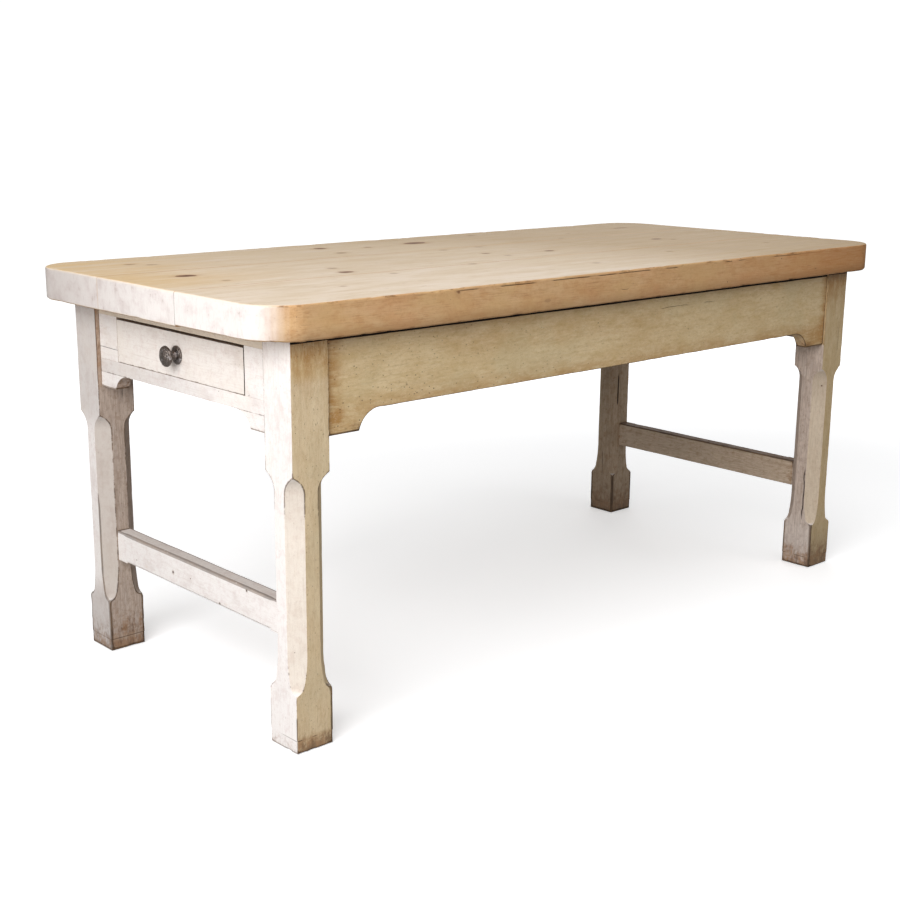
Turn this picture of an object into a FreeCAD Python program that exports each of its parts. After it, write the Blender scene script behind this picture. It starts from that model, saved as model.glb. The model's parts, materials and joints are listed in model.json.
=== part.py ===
import FreeCAD, Part
import os
import math
import Sketcher

# Farmhouse kitchen table with a drawer in each end.
# Millimetres, +X along the table, +Z up, origin on the floor under the middle
# of the tabletop.  "left" is the -X end, "front" is the -Y long side.

os.makedirs("parts", exist_ok=True)

V = FreeCAD.Vector
doc = FreeCAD.newDocument("kitchen_table")

# ---------------------------------------------------------------------------
# driving dimensions
# ---------------------------------------------------------------------------
DIMS = [
    # tabletop
    ("top_length", 1738), ("top_width", 778), ("top_thick", 60), ("table_height", 775),
    ("corner_radius", 78), ("arris_radius", 4),
    ("plank_front", 264), ("plank_middle", 258),
    ("dowel_dia", 10), ("dowel_length", 60), ("dowel_pitch", 360),
    # legs
    ("leg_size", 76), ("leg_span_x", 1600), ("leg_span_y", 704), ("foot_tip", 25), ("foot_wear", 2),
    ("chamfer_face", 24), ("chamfer_apex", 487), ("chamfer_spring", 454),
    ("chamfer_low", 180), ("chamfer_knee", 121), ("chamfer_toe", 107), ("chamfer_tip", 96),
    ("stop_radius", 39), ("sweep_radius", 330), ("knee_radius", 17), ("toe_radius", 14),
    # long aprons
    ("apron_thick", 27), ("apron_recess", 4), ("apron_bottom", 580),
    ("bracket_bottom", 545), ("bracket_foot", 67), ("cove_radius", 46),
    ("apron_tenon", 10), ("apron_tenon_long", 42), ("apron_tenon_low", 560), ("apron_tenon_high", 700),
    # end aprons
    ("end_recess", 9), ("end_thick", 28), ("rail_bottom", 575), ("rail_top", 601),
    ("opening_top", 687), ("opening_width", 420), ("end_bracket_bottom", 546),
    ("end_bracket_foot", 52), ("end_tenon", 10), ("end_tenon_long", 26),
    # stretchers
    ("stretcher_low", 189), ("stretcher_high", 249), ("stretcher_thick", 30),
    ("stretcher_inset", 25.5), ("stretcher_tenon", 12), ("stretcher_tenon_long", 34),
    ("stretcher_tenon_shoulder", 8), ("arris_low", 4.5), ("arris_high", 2.5), ("stretcher_stop", 32),
    # drawers
    ("front_width", 418), ("front_low", 602), ("front_height", 81.5), ("front_thick", 21),
    ("drawer_depth", 420), ("side_thick", 12), ("lap", 14), ("tail_wide", 26), ("tail_narrow", 20),
    ("tail_low", 7), ("tail_pitch", 42), ("back_thick", 12), ("back_low", 618),
    ("bottom_thick", 7), ("bottom_low", 611), ("groove_deep", 6),
    # drawer running gear
    ("cross_rail_face", 450), ("cross_rail_thick", 25), ("runner_low", 583), ("runner_top", 601.6),
    ("runner_wide", 48), ("runner_lap", 22), ("guide_high", 32), ("guide_gap", 1), ("stub", 8),
    ("kicker_width", 60), ("cross_rail_housing", 7), ("stop_height", 26), ("stop_width", 20),
    # knob
    ("knob_dia", 38), ("knob_reach", 31), ("rosette_dia", 34), ("rosette_thick", 5),
    ("stud_dia", 5), ("nut_size", 10), ("nut_thick", 4.5), ("washer_dia", 15),
    # buttons and screws
    ("button_length", 46), ("button_width", 32), ("button_thick", 19), ("button_tongue", 6),
    ("button_tongue_thick", 9), ("screw_dia", 4.5), ("screw_length", 42), ("screw_head", 9),
]
sheet = doc.addObject("Spreadsheet::Sheet", "Sizes")
for row, (name, value) in enumerate(DIMS, start=1):
    sheet.set("A%d" % row, name)
    sheet.set("B%d" % row, str(value))
    sheet.setAlias("B%d" % row, name)
doc.recompute()
D = {name: float(value) for name, value in DIMS}
S = "Sizes."

TOP_UNDER = "(Sizes.table_height - Sizes.top_thick)"
NODES = []          # every sub-part, in order


# ---------------------------------------------------------------------------
# helpers
# ---------------------------------------------------------------------------
def origin_plane(body, role):
    for feature in body.Origin.OriginFeatures:
        if feature.Role == role:
            return feature
    raise RuntimeError("no plane " + role)


def num(expression):
    """Numeric value of an expression of sheet cells."""
    text = expression if isinstance(expression, str) else repr(expression)
    return float(FreeCAD.Units.Quantity(sheet.evalExpression(text)).Value)


def bind(obj, prop, expression):
    obj.setExpression(prop, str(expression))


def place(obj, x="0", y="0", z="0"):
    bind(obj, "Placement.Base.x", x)
    bind(obj, "Placement.Base.y", y)
    bind(obj, "Placement.Base.z", z)


def new_body(label):
    body = doc.addObject("PartDesign::Body", label)
    body.Label = label
    NODES.append(body)
    return body


def new_sketch(body, role, name, offset=None, turn=None):
    sketch = body.newObject("Sketcher::SketchObject", name)
    sketch.AttachmentSupport = [(origin_plane(body, role), "")]
    sketch.MapMode = "FlatFace"
    if turn is not None:
        sketch.AttachmentOffset = FreeCAD.Placement(V(0, 0, 0), FreeCAD.Rotation(V(0, 1, 0), turn))
    if offset is not None:
        bind(sketch, "AttachmentOffset.Base.z", offset)
    return sketch


def fix_point(sketch, geo, end, ex, ey, tag):
    """Ties one end of a sketch edge to two cells, measured from the sketch origin."""
    for kind, expression, letter in (("DistanceX", ex, "x"), ("DistanceY", ey, "y")):
        index = sketch.addConstraint(Sketcher.Constraint(kind, -1, 1, geo, end, num(expression)))
        sketch.renameConstraint(index, "%s_%s" % (letter, tag))
        bind(sketch, "Constraints.%s_%s" % (letter, tag), expression)


def outline(sketch, points, arcs=None):
    """Closed outline.  points are (x, y) expressions; arcs maps an edge's number to
    (radius expression, side) where side is +1 when the arc's centre lies to the
    left of the chord from one point to the next."""
    arcs = arcs or {}
    xy = [V(num(a), num(b), 0) for a, b in points]
    count = len(xy)
    edges = []
    ends = []           # for every edge, which of its ends comes first and which last
    for i in range(count):
        a, b = xy[i], xy[(i + 1) % count]
        if i in arcs:
            radius_expression, side = arcs[i]
            radius = num(radius_expression)
            chord = b.sub(a)
            half = chord.Length / 2.0
            normal = V(-chord.y, chord.x, 0).normalize()
            rise = math.sqrt(max(radius * radius - half * half, 0.0))
            centre = a.add(b).multiply(0.5).add(V(normal).multiply(rise * side))
            first, last = (a, b) if side > 0 else (b, a)       # arcs run anticlockwise
            start = math.atan2(first.y - centre.y, first.x - centre.x)
            stop = math.atan2(last.y - centre.y, last.x - centre.x)
            if stop < start:
                stop += 2 * math.pi
            circle = Part.Circle(centre, V(0, 0, 1), radius)
            edges.append(sketch.addGeometry(Part.ArcOfCircle(circle, start, stop), False))
            ends.append((1, 2) if side > 0 else (2, 1))
        else:
            edges.append(sketch.addGeometry(Part.LineSegment(a, b), False))
            ends.append((1, 2))
    for i in range(count):
        j = (i + 1) % count
        sketch.addConstraint(Sketcher.Constraint("Coincident", edges[i], ends[i][1], edges[j], ends[j][0]))
    for i in range(count):
        fix_point(sketch, edges[i], ends[i][0], points[i][0], points[i][1], str(i))
        if i in arcs:
            index = sketch.addConstraint(Sketcher.Constraint("Radius", edges[i], num(arcs[i][0])))
            sketch.renameConstraint(index, "r_%d" % i)
            bind(sketch, "Constraints.r_%d" % i, arcs[i][0])
    return edges


def circles(sketch, centres, dia):
    for i, (cx, cy) in enumerate(centres):
        geo = sketch.addGeometry(Part.Circle(V(num(cx), num(cy), 0), V(0, 0, 1), num(dia) / 2.0), False)
        fix_point(sketch, geo, 3, cx, cy, "c%d" % i)
        index = sketch.addConstraint(Sketcher.Constraint("Diameter", geo, num(dia)))
        sketch.renameConstraint(index, "d_%d" % i)
        bind(sketch, "Constraints.d_%d" % i, dia)


def pad(body, sketch, length, symmetric=False, reverse=False, name="pad"):
    feature = body.newObject("PartDesign::Pad", name)
    feature.Profile = sketch
    bind(feature, "Length", length)
    if symmetric:
        feature.SideType = "Symmetric"
    feature.Reversed = reverse
    doc.recompute()
    return feature


def pocket(body, sketch, length, symmetric=False, reverse=False, name="pocket"):
    """Cuts, and makes sure that it took material away."""
    before = body.Shape.Volume
    feature = body.newObject("PartDesign::Pocket", name)
    feature.Profile = sketch
    bind(feature, "Length", length)
    if symmetric:
        feature.SideType = "Symmetric"
    feature.Reversed = reverse
    doc.recompute()
    if not symmetric and body.Shape.Volume > before - 1.0:
        feature.Reversed = not reverse
        doc.recompute()
    if body.Shape.Volume > before - 1.0:
        raise RuntimeError("%s in %s cuts nothing" % (name, body.Label))
    return feature


def sunk_box(body, name, size, low):
    """A square hole such as a mortise: size and low corner are expressions."""
    before = body.Shape.Volume
    feature = body.newObject("PartDesign::SubtractiveBox", name)
    for prop, expression in zip(("Length", "Width", "Height"), size):
        bind(feature, prop, expression)
    for axis, expression in zip("xyz", low):
        bind(feature, "Placement.Base." + axis, expression)
    doc.recompute()
    if body.Shape.Volume > before - 1.0:
        raise RuntimeError("%s in %s cuts nothing" % (name, body.Label))
    return feature


def stuck_box(body, name, size, low):
    """A square lump on a body, such as a tenon."""
    feature = body.newObject("PartDesign::AdditiveBox", name)
    for prop, expression in zip(("Length", "Width", "Height"), size):
        bind(feature, prop, expression)
    for axis, expression in zip("xyz", low):
        bind(feature, "Placement.Base." + axis, expression)
    doc.recompute()
    return feature


def block(label, size, low, node=True):
    """Plain sawn block."""
    obj = doc.addObject("Part::Box", label)
    obj.Label = label
    for prop, expression in zip(("Length", "Width", "Height"), size):
        bind(obj, prop, expression)
    place(obj, *low)
    if node:
        NODES.append(obj)
    return obj


# ---------------------------------------------------------------------------
# tabletop: three planks, edge to edge, joined with loose dowels
# ---------------------------------------------------------------------------
HALF_L = "Sizes.top_length / 2"
HALF_W = "Sizes.top_width / 2"
JOINT_1 = "(-Sizes.top_width / 2 + Sizes.plank_front)"
JOINT_2 = "(-Sizes.top_width / 2 + Sizes.plank_front + Sizes.plank_middle)"
CR = "Sizes.corner_radius"
BUTTON_X = [-620.0, -210.0, 210.0, 620.0]
APRON_IN = "(Sizes.leg_span_y / 2 - Sizes.apron_recess - Sizes.apron_thick)"
SCREW_Y = "(" + APRON_IN + " - Sizes.button_length / 2)"


def soften(body, keep):
    """Rounds the arrises whose middle point satisfies keep()."""
    names = []
    for i, edge in enumerate(body.Shape.Edges, start=1):
        mid = edge.valueAt((edge.FirstParameter + edge.LastParameter) / 2.0)
        if keep(edge, mid):
            names.append("Edge%d" % i)
    base = body.Tip
    feature = body.newObject("PartDesign::Fillet", "arris")
    feature.Base = (base, names)
    bind(feature, "Radius", "Sizes.arris_radius")
    doc.recompute()
    return feature


def dowel_holes(body, y, outward):
    """Blind holes in a plank's edge at y, drilled outward (+1) or back (-1)."""
    sketch = new_sketch(body, "XZ_Plane", "dowel_marks")
    # the XZ plane's normal is -Y
    bind(sketch, "AttachmentOffset.Base.z", "-(%s)" % y)
    circles(sketch, [("%d * Sizes.dowel_pitch" % k, "Sizes.top_thick / 2") for k in (-2, -1, 0, 1, 2)],
            "Sizes.dowel_dia")
    pocket(body, sketch, "Sizes.dowel_length / 2", reverse=(outward > 0), name="dowel_holes")


def end_plank(label, side):
    """Outer plank: side -1 is the front one, +1 the rear one."""
    body = new_body(label)
    sketch = new_sketch(body, "XY_Plane", "outline")
    if side < 0:
        outer, inner = "-" + HALF_W, JOINT_1
        curve = "(-Sizes.top_width / 2 + Sizes.corner_radius)"
        points = [("(-%s + %s)" % (HALF_L, CR), outer), ("(%s - %s)" % (HALF_L, CR), outer),
                  (HALF_L, curve), (HALF_L, inner), ("-" + HALF_L, inner), ("-" + HALF_L, curve)]
        arcs = {1: (CR, 1), 5: (CR, 1)}
    else:
        outer, inner = HALF_W, JOINT_2
        curve = "(Sizes.top_width / 2 - Sizes.corner_radius)"
        points = [("-" + HALF_L, inner), (HALF_L, inner), (HALF_L, curve),
                  ("(%s - %s)" % (HALF_L, CR), outer), ("(-%s + %s)" % (HALF_L, CR), outer),
                  ("-" + HALF_L, curve)]
        arcs = {2: (CR, 1), 4: (CR, 1)}
    outline(sketch, points, arcs)
    pad(body, sketch, "Sizes.top_thick")
    if side < 0:
        dowel_holes(body, JOINT_1, -1)
        screw_y = "-" + SCREW_Y
    else:
        dowel_holes(body, JOINT_2, 1)
        screw_y = SCREW_Y
    marks = new_sketch(body, "XY_Plane", "screw_marks")
    circles(marks, [(repr(x), screw_y) for x in BUTTON_X], "Sizes.screw_dia")
    pocket(body, marks, "Sizes.screw_length - Sizes.button_thick", reverse=True, name="pilot_holes")
    place(body, z=TOP_UNDER)
    joint = num(JOINT_1 if side < 0 else JOINT_2)
    high = D["top_thick"]

    def keep(edge, mid):
        if edge.Length < 50 or abs(mid.y - joint) < 0.5:
            return False
        return abs(mid.z) < 0.01 or abs(mid.z - high) < 0.01

    soften(body, keep)
    return body


end_plank("top_plank_front", -1)

body = new_body("top_plank_middle")
sketch = new_sketch(body, "XY_Plane", "outline")
outline(sketch, [("-" + HALF_L, JOINT_1), (HALF_L, JOINT_1), (HALF_L, JOINT_2), ("-" + HALF_L, JOINT_2)])
pad(body, sketch, "Sizes.top_thick")
dowel_holes(body, JOINT_1, 1)
dowel_holes(body, JOINT_2, -1)
place(body, z=TOP_UNDER)
soften(body, lambda edge, mid: abs(abs(mid.x) - D["top_length"] / 2) < 0.01 and edge.Length > 200)

end_plank("top_plank_rear", 1)

# ---------------------------------------------------------------------------
# legs: square, with four stopped chamfers and mortises on the two inner faces
# ---------------------------------------------------------------------------
LEG_X = "(Sizes.leg_span_x / 2 - Sizes.leg_size / 2)"
LEG_Y = "(Sizes.leg_span_y / 2 - Sizes.leg_size / 2)"
HALF = "Sizes.leg_size / 2"
CORNER = "(Sizes.leg_size / 2 * sqrt(2))"
DEEP = "(Sizes.chamfer_face / sqrt(2))"


def inner(sign, face, depth):
    """Low coordinate of a hole of the given depth that starts on the face at
    face * sign and runs towards the leg's middle."""
    return "(%s - %s)" % (face, depth) if sign > 0 else "-(%s)" % face


def leg(label, sx, sy):
    """sx, sy: the table's end and side that the leg stands at (-1 or +1)."""
    body = new_body(label)
    sketch = new_sketch(body, "XY_Plane", "section")
    outline(sketch, [("-" + HALF, "-" + HALF), (HALF, "-" + HALF), (HALF, HALF), ("-" + HALF, HALF)])
    blank = pad(body, sketch, TOP_UNDER + " - Sizes.foot_tip")
    bind(sketch, "AttachmentOffset.Base.z", "Sizes.foot_tip")
    doc.recompute()
    # one chamfer in a plane across the corner, turned round the leg four times
    cut = new_sketch(body, "XZ_Plane", "stopped_chamfer", turn=45.0)
    out = "(%s + 6)" % CORNER
    points = [(out, "Sizes.chamfer_apex"),
              (CORNER, "Sizes.chamfer_apex"),
              ("(%s - %s)" % (CORNER, DEEP), "Sizes.chamfer_spring"),
              ("(%s - %s)" % (CORNER, DEEP), "Sizes.chamfer_low"),
              ("(%s - %s * 0.72)" % (CORNER, DEEP), "Sizes.chamfer_knee"),
              ("(%s - %s * 0.16)" % (CORNER, DEEP), "Sizes.chamfer_toe"),
              (CORNER, "Sizes.chamfer_tip"),
              (out, "Sizes.chamfer_tip")]
    outline(cut, points, {1: ("Sizes.stop_radius", 1), 3: ("Sizes.sweep_radius", 1),
                          4: ("Sizes.knee_radius", 1), 5: ("Sizes.toe_radius", -1)})
    chamfer = pocket(body, cut, "2 * Sizes.leg_size", symmetric=True, name="chamfer")
    one = body.Shape.Volume
    turned = body.newObject("PartDesign::PolarPattern", "four_chamfers")
    turned.Originals = [chamfer]
    turned.Axis = (sketch, ["N_Axis"])
    turned.Angle = 360
    turned.Occurrences = 4
    body.Tip = turned
    doc.recompute()
    if body.Shape.Volume > one - 1000:
        raise RuntimeError("the chamfers of %s are not turned" % label)
    # mortise for the long apron, on the face towards the table's middle
    apron_y = "(Sizes.leg_span_y / 2 - Sizes.apron_recess - Sizes.apron_thick / 2 - %s)" % LEG_Y
    low_y = "(%s - Sizes.apron_tenon / 2)" % apron_y if sy > 0 else "(-%s - Sizes.apron_tenon / 2)" % apron_y
    sunk_box(body, "apron_mortise",
             ("Sizes.apron_tenon_long", "Sizes.apron_tenon", "Sizes.apron_tenon_high - Sizes.apron_tenon_low"),
             (inner(-sx, HALF, "Sizes.apron_tenon_long"), low_y, "Sizes.apron_tenon_low"))
    # mortises for the two drawer rails, on the other inner face
    rail_x = "(Sizes.leg_span_x / 2 - Sizes.end_recess - Sizes.end_thick / 2 - %s)" % LEG_X
    low_x = "(%s - Sizes.end_tenon / 2)" % rail_x if sx > 0 else "(-%s - Sizes.end_tenon / 2)" % rail_x
    for tag, low, high in (("lower", "Sizes.rail_bottom + 3", "Sizes.rail_top - 3"),
                           ("upper", "Sizes.opening_top + 4", "Sizes.opening_top + 20")):
        sunk_box(body, tag + "_rail_mortise",
                 ("Sizes.end_tenon", "Sizes.end_tenon_long", "(%s) - (%s)" % (high, low)),
                 (low_x, inner(-sy, HALF, "Sizes.end_tenon_long"), low))
    # mortise for the stretcher
    str_x = "(Sizes.leg_span_x / 2 - Sizes.stretcher_inset - Sizes.stretcher_thick / 2 - %s)" % LEG_X
    low_x = "(%s - Sizes.stretcher_tenon / 2)" % str_x if sx > 0 else "(-%s - Sizes.stretcher_tenon / 2)" % str_x
    sunk_box(body, "stretcher_mortise",
             ("Sizes.stretcher_tenon", "Sizes.stretcher_tenon_long",
              "Sizes.stretcher_high - Sizes.stretcher_low - 2 * Sizes.stretcher_tenon_shoulder"),
             (low_x, inner(-sy, HALF, "Sizes.stretcher_tenon_long"),
              "Sizes.stretcher_low + Sizes.stretcher_tenon_shoulder"))
    place(body, "%d * %s" % (sx, LEG_X), "%d * %s" % (sy, LEG_Y))
    return body


ENDS = (("left", -1), ("right", 1))
SIDES = (("front", -1), ("rear", 1))
for end, sx in ENDS:
    for side, sy in SIDES:
        leg("leg_%s_%s" % (side, end), sx, sy)

# foot tips: blocks under the legs, with the bottom arris worn round
for end, sx in ENDS:
    for side, sy in SIDES:
        body = new_body("foot_tip_%s_%s" % (side, end))
        sketch = new_sketch(body, "XY_Plane", "section")
        outline(sketch, [("-" + HALF, "-" + HALF), (HALF, "-" + HALF), (HALF, HALF), ("-" + HALF, HALF)])
        pad(body, sketch, "Sizes.foot_tip")
        names = ["Edge%d" % i for i, e in enumerate(body.Shape.Edges, start=1)
                 if abs(e.BoundBox.ZMax) < 0.01]
        base = body.Tip
        worn = body.newObject("PartDesign::Chamfer", "worn_arris")
        worn.Base = (base, names)
        bind(worn, "Size", "Sizes.foot_wear")
        place(body, "%d * %s" % (sx, LEG_X), "%d * %s" % (sy, LEG_Y))
        doc.recompute()

# ---------------------------------------------------------------------------
# long aprons: one board each, a bracket with a hollow at both ends
# ---------------------------------------------------------------------------
SHOULDER = "(Sizes.leg_span_x / 2 - Sizes.leg_size)"
APRON_OUT = "(Sizes.leg_span_y / 2 - Sizes.apron_recess)"
COVE_RUN = "sqrt(Sizes.cove_radius * Sizes.cove_radius - (Sizes.cove_radius - Sizes.apron_bottom + Sizes.bracket_bottom) * (Sizes.cove_radius - Sizes.apron_bottom + Sizes.bracket_bottom))"
CROSS_X = "(Sizes.leg_span_x / 2 - Sizes.end_recess - Sizes.cross_rail_face)"

for side, sy in SIDES:
    body = new_body("apron_" + side)
    sketch = new_sketch(body, "XZ_Plane", "face")
    foot = "(%s - Sizes.bracket_foot)" % SHOULDER
    spring = "(%s - Sizes.bracket_foot - %s)" % (SHOULDER, COVE_RUN)
    outline(sketch, [("-" + SHOULDER, TOP_UNDER), ("-" + SHOULDER, "Sizes.bracket_bottom"),
                     ("-" + foot, "Sizes.bracket_bottom"), ("-" + spring, "Sizes.apron_bottom"),
                     (spring, "Sizes.apron_bottom"), (foot, "Sizes.bracket_bottom"),
                     (SHOULDER, "Sizes.bracket_bottom"), (SHOULDER, TOP_UNDER)],
            {2: ("Sizes.cove_radius", -1), 4: ("Sizes.cove_radius", -1)})
    pad(body, sketch, "Sizes.apron_thick", symmetric=True)
    for tag, low in (("left", "-(%s + Sizes.apron_tenon_long)" % SHOULDER), ("right", SHOULDER)):
        stuck_box(body, "tenon_" + tag,
                  ("Sizes.apron_tenon_long", "Sizes.apron_tenon",
                   "Sizes.apron_tenon_high - Sizes.apron_tenon_low"),
                  (low, "-Sizes.apron_tenon / 2", "Sizes.apron_tenon_low"))
    # slots for the buttons and housings for the cross rails, on the inner face
    deep = "(Sizes.button_tongue + 1)"
    low_y = "(Sizes.apron_thick / 2 - %s)" % deep if sy < 0 else "-Sizes.apron_thick / 2"
    for k, x in enumerate(BUTTON_X):
        sunk_box(body, "button_slot_%d" % k,
                 ("Sizes.button_width + 4", deep, "Sizes.button_tongue_thick + 1"),
                 ("%r - Sizes.button_width / 2 - 2" % x, low_y, TOP_UNDER + " - Sizes.button_thick - 0.5"))
    low_y = "(Sizes.apron_thick / 2 - Sizes.cross_rail_housing)" if sy < 0 else "-Sizes.apron_thick / 2"
    for tag, low in (("left", "-(%s)" % CROSS_X), ("right", "(%s - Sizes.cross_rail_thick)" % CROSS_X)):
        sunk_box(body, "housing_" + tag,
                 ("Sizes.cross_rail_thick", "Sizes.cross_rail_housing", "Sizes.opening_top - Sizes.runner_low"),
                 (low, low_y, "Sizes.runner_low"))
    place(body, y="%d * (%s - Sizes.apron_thick / 2)" % (sy, APRON_OUT))

# ---------------------------------------------------------------------------
# end aprons: lower and upper drawer rail, stile blocks, bracket blocks
# ---------------------------------------------------------------------------
END_OUT = "(Sizes.leg_span_x / 2 - Sizes.end_recess)"
INNER_Y = "(Sizes.leg_span_y / 2 - Sizes.leg_size)"
END_RUN = "sqrt(Sizes.cove_radius * Sizes.cove_radius - (Sizes.cove_radius - Sizes.rail_bottom + Sizes.end_bracket_bottom) * (Sizes.cove_radius - Sizes.rail_bottom + Sizes.end_bracket_bottom))"
RUNNER_Y = "(Sizes.opening_width / 2 - Sizes.runner_lap)"

for end, sx in ENDS:
    rail_low_x = "(%s - Sizes.end_thick)" % END_OUT if sx > 0 else "-" + END_OUT
    tenon_low_x = "(-Sizes.end_tenon / 2)"
    for tag, low, high, t_low, t_high in (
            ("lower", "Sizes.rail_bottom", "Sizes.rail_top", "Sizes.rail_bottom + 3", "Sizes.rail_top - 3"),
            ("upper", "Sizes.opening_top", TOP_UNDER, "Sizes.opening_top + 4", "Sizes.opening_top + 20")):
        body = new_body("%s_drawer_rail_%s" % (tag, end))
        sketch = new_sketch(body, "XY_Plane", "section")
        outline(sketch, [("-Sizes.end_thick / 2", "-" + INNER_Y), ("Sizes.end_thick / 2", "-" + INNER_Y),
                         ("Sizes.end_thick / 2", INNER_Y), ("-Sizes.end_thick / 2", INNER_Y)])
        pad(body, sketch, "(%s) - (%s)" % (high, low))
        for name, y in (("tenon_front", "-(%s + Sizes.end_tenon_long)" % INNER_Y), ("tenon_rear", INNER_Y)):
            stuck_box(body, name, ("Sizes.end_tenon", "Sizes.end_tenon_long", "(%s) - (%s)" % (t_high, t_low)),
                      (tenon_low_x, y, "(%s) - (%s)" % (t_low, low)))
        if tag == "lower":
            # mortises for the stub tenons of the runners
            x0 = "(Sizes.end_thick / 2 - Sizes.stub)" if sx < 0 else "-Sizes.end_thick / 2"
            for name, y0 in (("front", "-(%s + Sizes.runner_wide)" % RUNNER_Y), ("rear", RUNNER_Y)):
                sunk_box(body, "runner_mortise_" + name,
                         ("Sizes.stub", "Sizes.runner_wide - 12", "Sizes.rail_top - Sizes.runner_low - 6"),
                         (x0, "(%s) + 6" % y0, "Sizes.runner_low + 3 - Sizes.rail_bottom"))
        place(body, "%d * (%s - Sizes.end_thick / 2)" % (sx, END_OUT), "0", low)

    for side, sy in SIDES:
        y0 = "Sizes.opening_width / 2" if sy > 0 else "-" + INNER_Y
        block("end_stile_%s_%s" % (side, end),
              ("Sizes.end_thick", "%s - Sizes.opening_width / 2" % INNER_Y, "Sizes.opening_top - Sizes.rail_top"),
              (rail_low_x, y0, "Sizes.rail_top"))
        # bracket block, its outline drawn in a plane across the table
        body = new_body("end_bracket_%s_%s" % (side, end))
        sketch = new_sketch(body, "YZ_Plane", "face")
        far = "(-(Sizes.end_bracket_foot + %s))" % END_RUN
        if sy > 0:
            outline(sketch, [("0", "0"), ("0", "Sizes.rail_bottom - Sizes.end_bracket_bottom"),
                             (far, "Sizes.rail_bottom - Sizes.end_bracket_bottom"),
                             ("-Sizes.end_bracket_foot", "0")], {2: ("Sizes.cove_radius", -1)})
        else:
            outline(sketch, [("0", "0"), ("Sizes.end_bracket_foot", "0"),
                             ("(Sizes.end_bracket_foot + %s)" % END_RUN,
                              "Sizes.rail_bottom - Sizes.end_bracket_bottom"),
                             ("0", "Sizes.rail_bottom - Sizes.end_bracket_bottom")],
                    {1: ("Sizes.cove_radius", -1)})
        pad(body, sketch, "Sizes.end_thick", symmetric=True)
        place(body, "%d * (%s - Sizes.end_thick / 2)" % (sx, END_OUT), "%d * %s" % (sy, INNER_Y),
              "Sizes.end_bracket_bottom")

# ---------------------------------------------------------------------------
# stretchers
# ---------------------------------------------------------------------------
for end, sx in ENDS:
    body = new_body("stretcher_" + end)
    sketch = new_sketch(body, "XZ_Plane", "section")
    outline(sketch, [("-Sizes.stretcher_thick / 2", "0"), ("Sizes.stretcher_thick / 2", "0"),
                     ("Sizes.stretcher_thick / 2", "Sizes.stretcher_high - Sizes.stretcher_low"),
                     ("-Sizes.stretcher_thick / 2", "Sizes.stretcher_high - Sizes.stretcher_low")])
    pad(body, sketch, "2 * " + INNER_Y, symmetric=True)
    for name, y in (("tenon_front", "-(%s + Sizes.stretcher_tenon_long)" % INNER_Y), ("tenon_rear", INNER_Y)):
        stuck_box(body, name, ("Sizes.stretcher_tenon", "Sizes.stretcher_tenon_long",
                               "Sizes.stretcher_high - Sizes.stretcher_low - 2 * Sizes.stretcher_tenon_shoulder"),
                  ("-Sizes.stretcher_tenon / 2", y, "Sizes.stretcher_tenon_shoulder"))
    # stopped chamfers on the two outer arrises
    half_thick = "Sizes.stretcher_thick / 2"
    tall = "(Sizes.stretcher_high - Sizes.stretcher_low)"
    for name, size, z, up in (("lower_chamfer", "Sizes.arris_low", "0", 1),
                              ("upper_chamfer", "Sizes.arris_high", tall, -1)):
        cut = new_sketch(body, "XZ_Plane", name)
        edge_x = "%d * %s" % (sx, half_thick)
        in_x = "%d * (%s - %s)" % (sx, half_thick, size)
        out_x = "%d * (%s + 1)" % (sx, half_thick)
        side_z = "(%s + %d * %s)" % (z, up, size)
        off_z = "(%s - %d * 1)" % (z, up)
        corners = [(in_x, z), (in_x, off_z), (out_x, off_z), (out_x, side_z), (edge_x, side_z)]
        outline(cut, corners)
        pocket(body, cut, "2 * (%s - Sizes.stretcher_stop)" % INNER_Y, symmetric=True, name=name + "_cut")
    place(body, "%d * (Sizes.leg_span_x / 2 - Sizes.stretcher_inset - Sizes.stretcher_thick / 2)" % sx, "0",
          "Sizes.stretcher_low")

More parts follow.
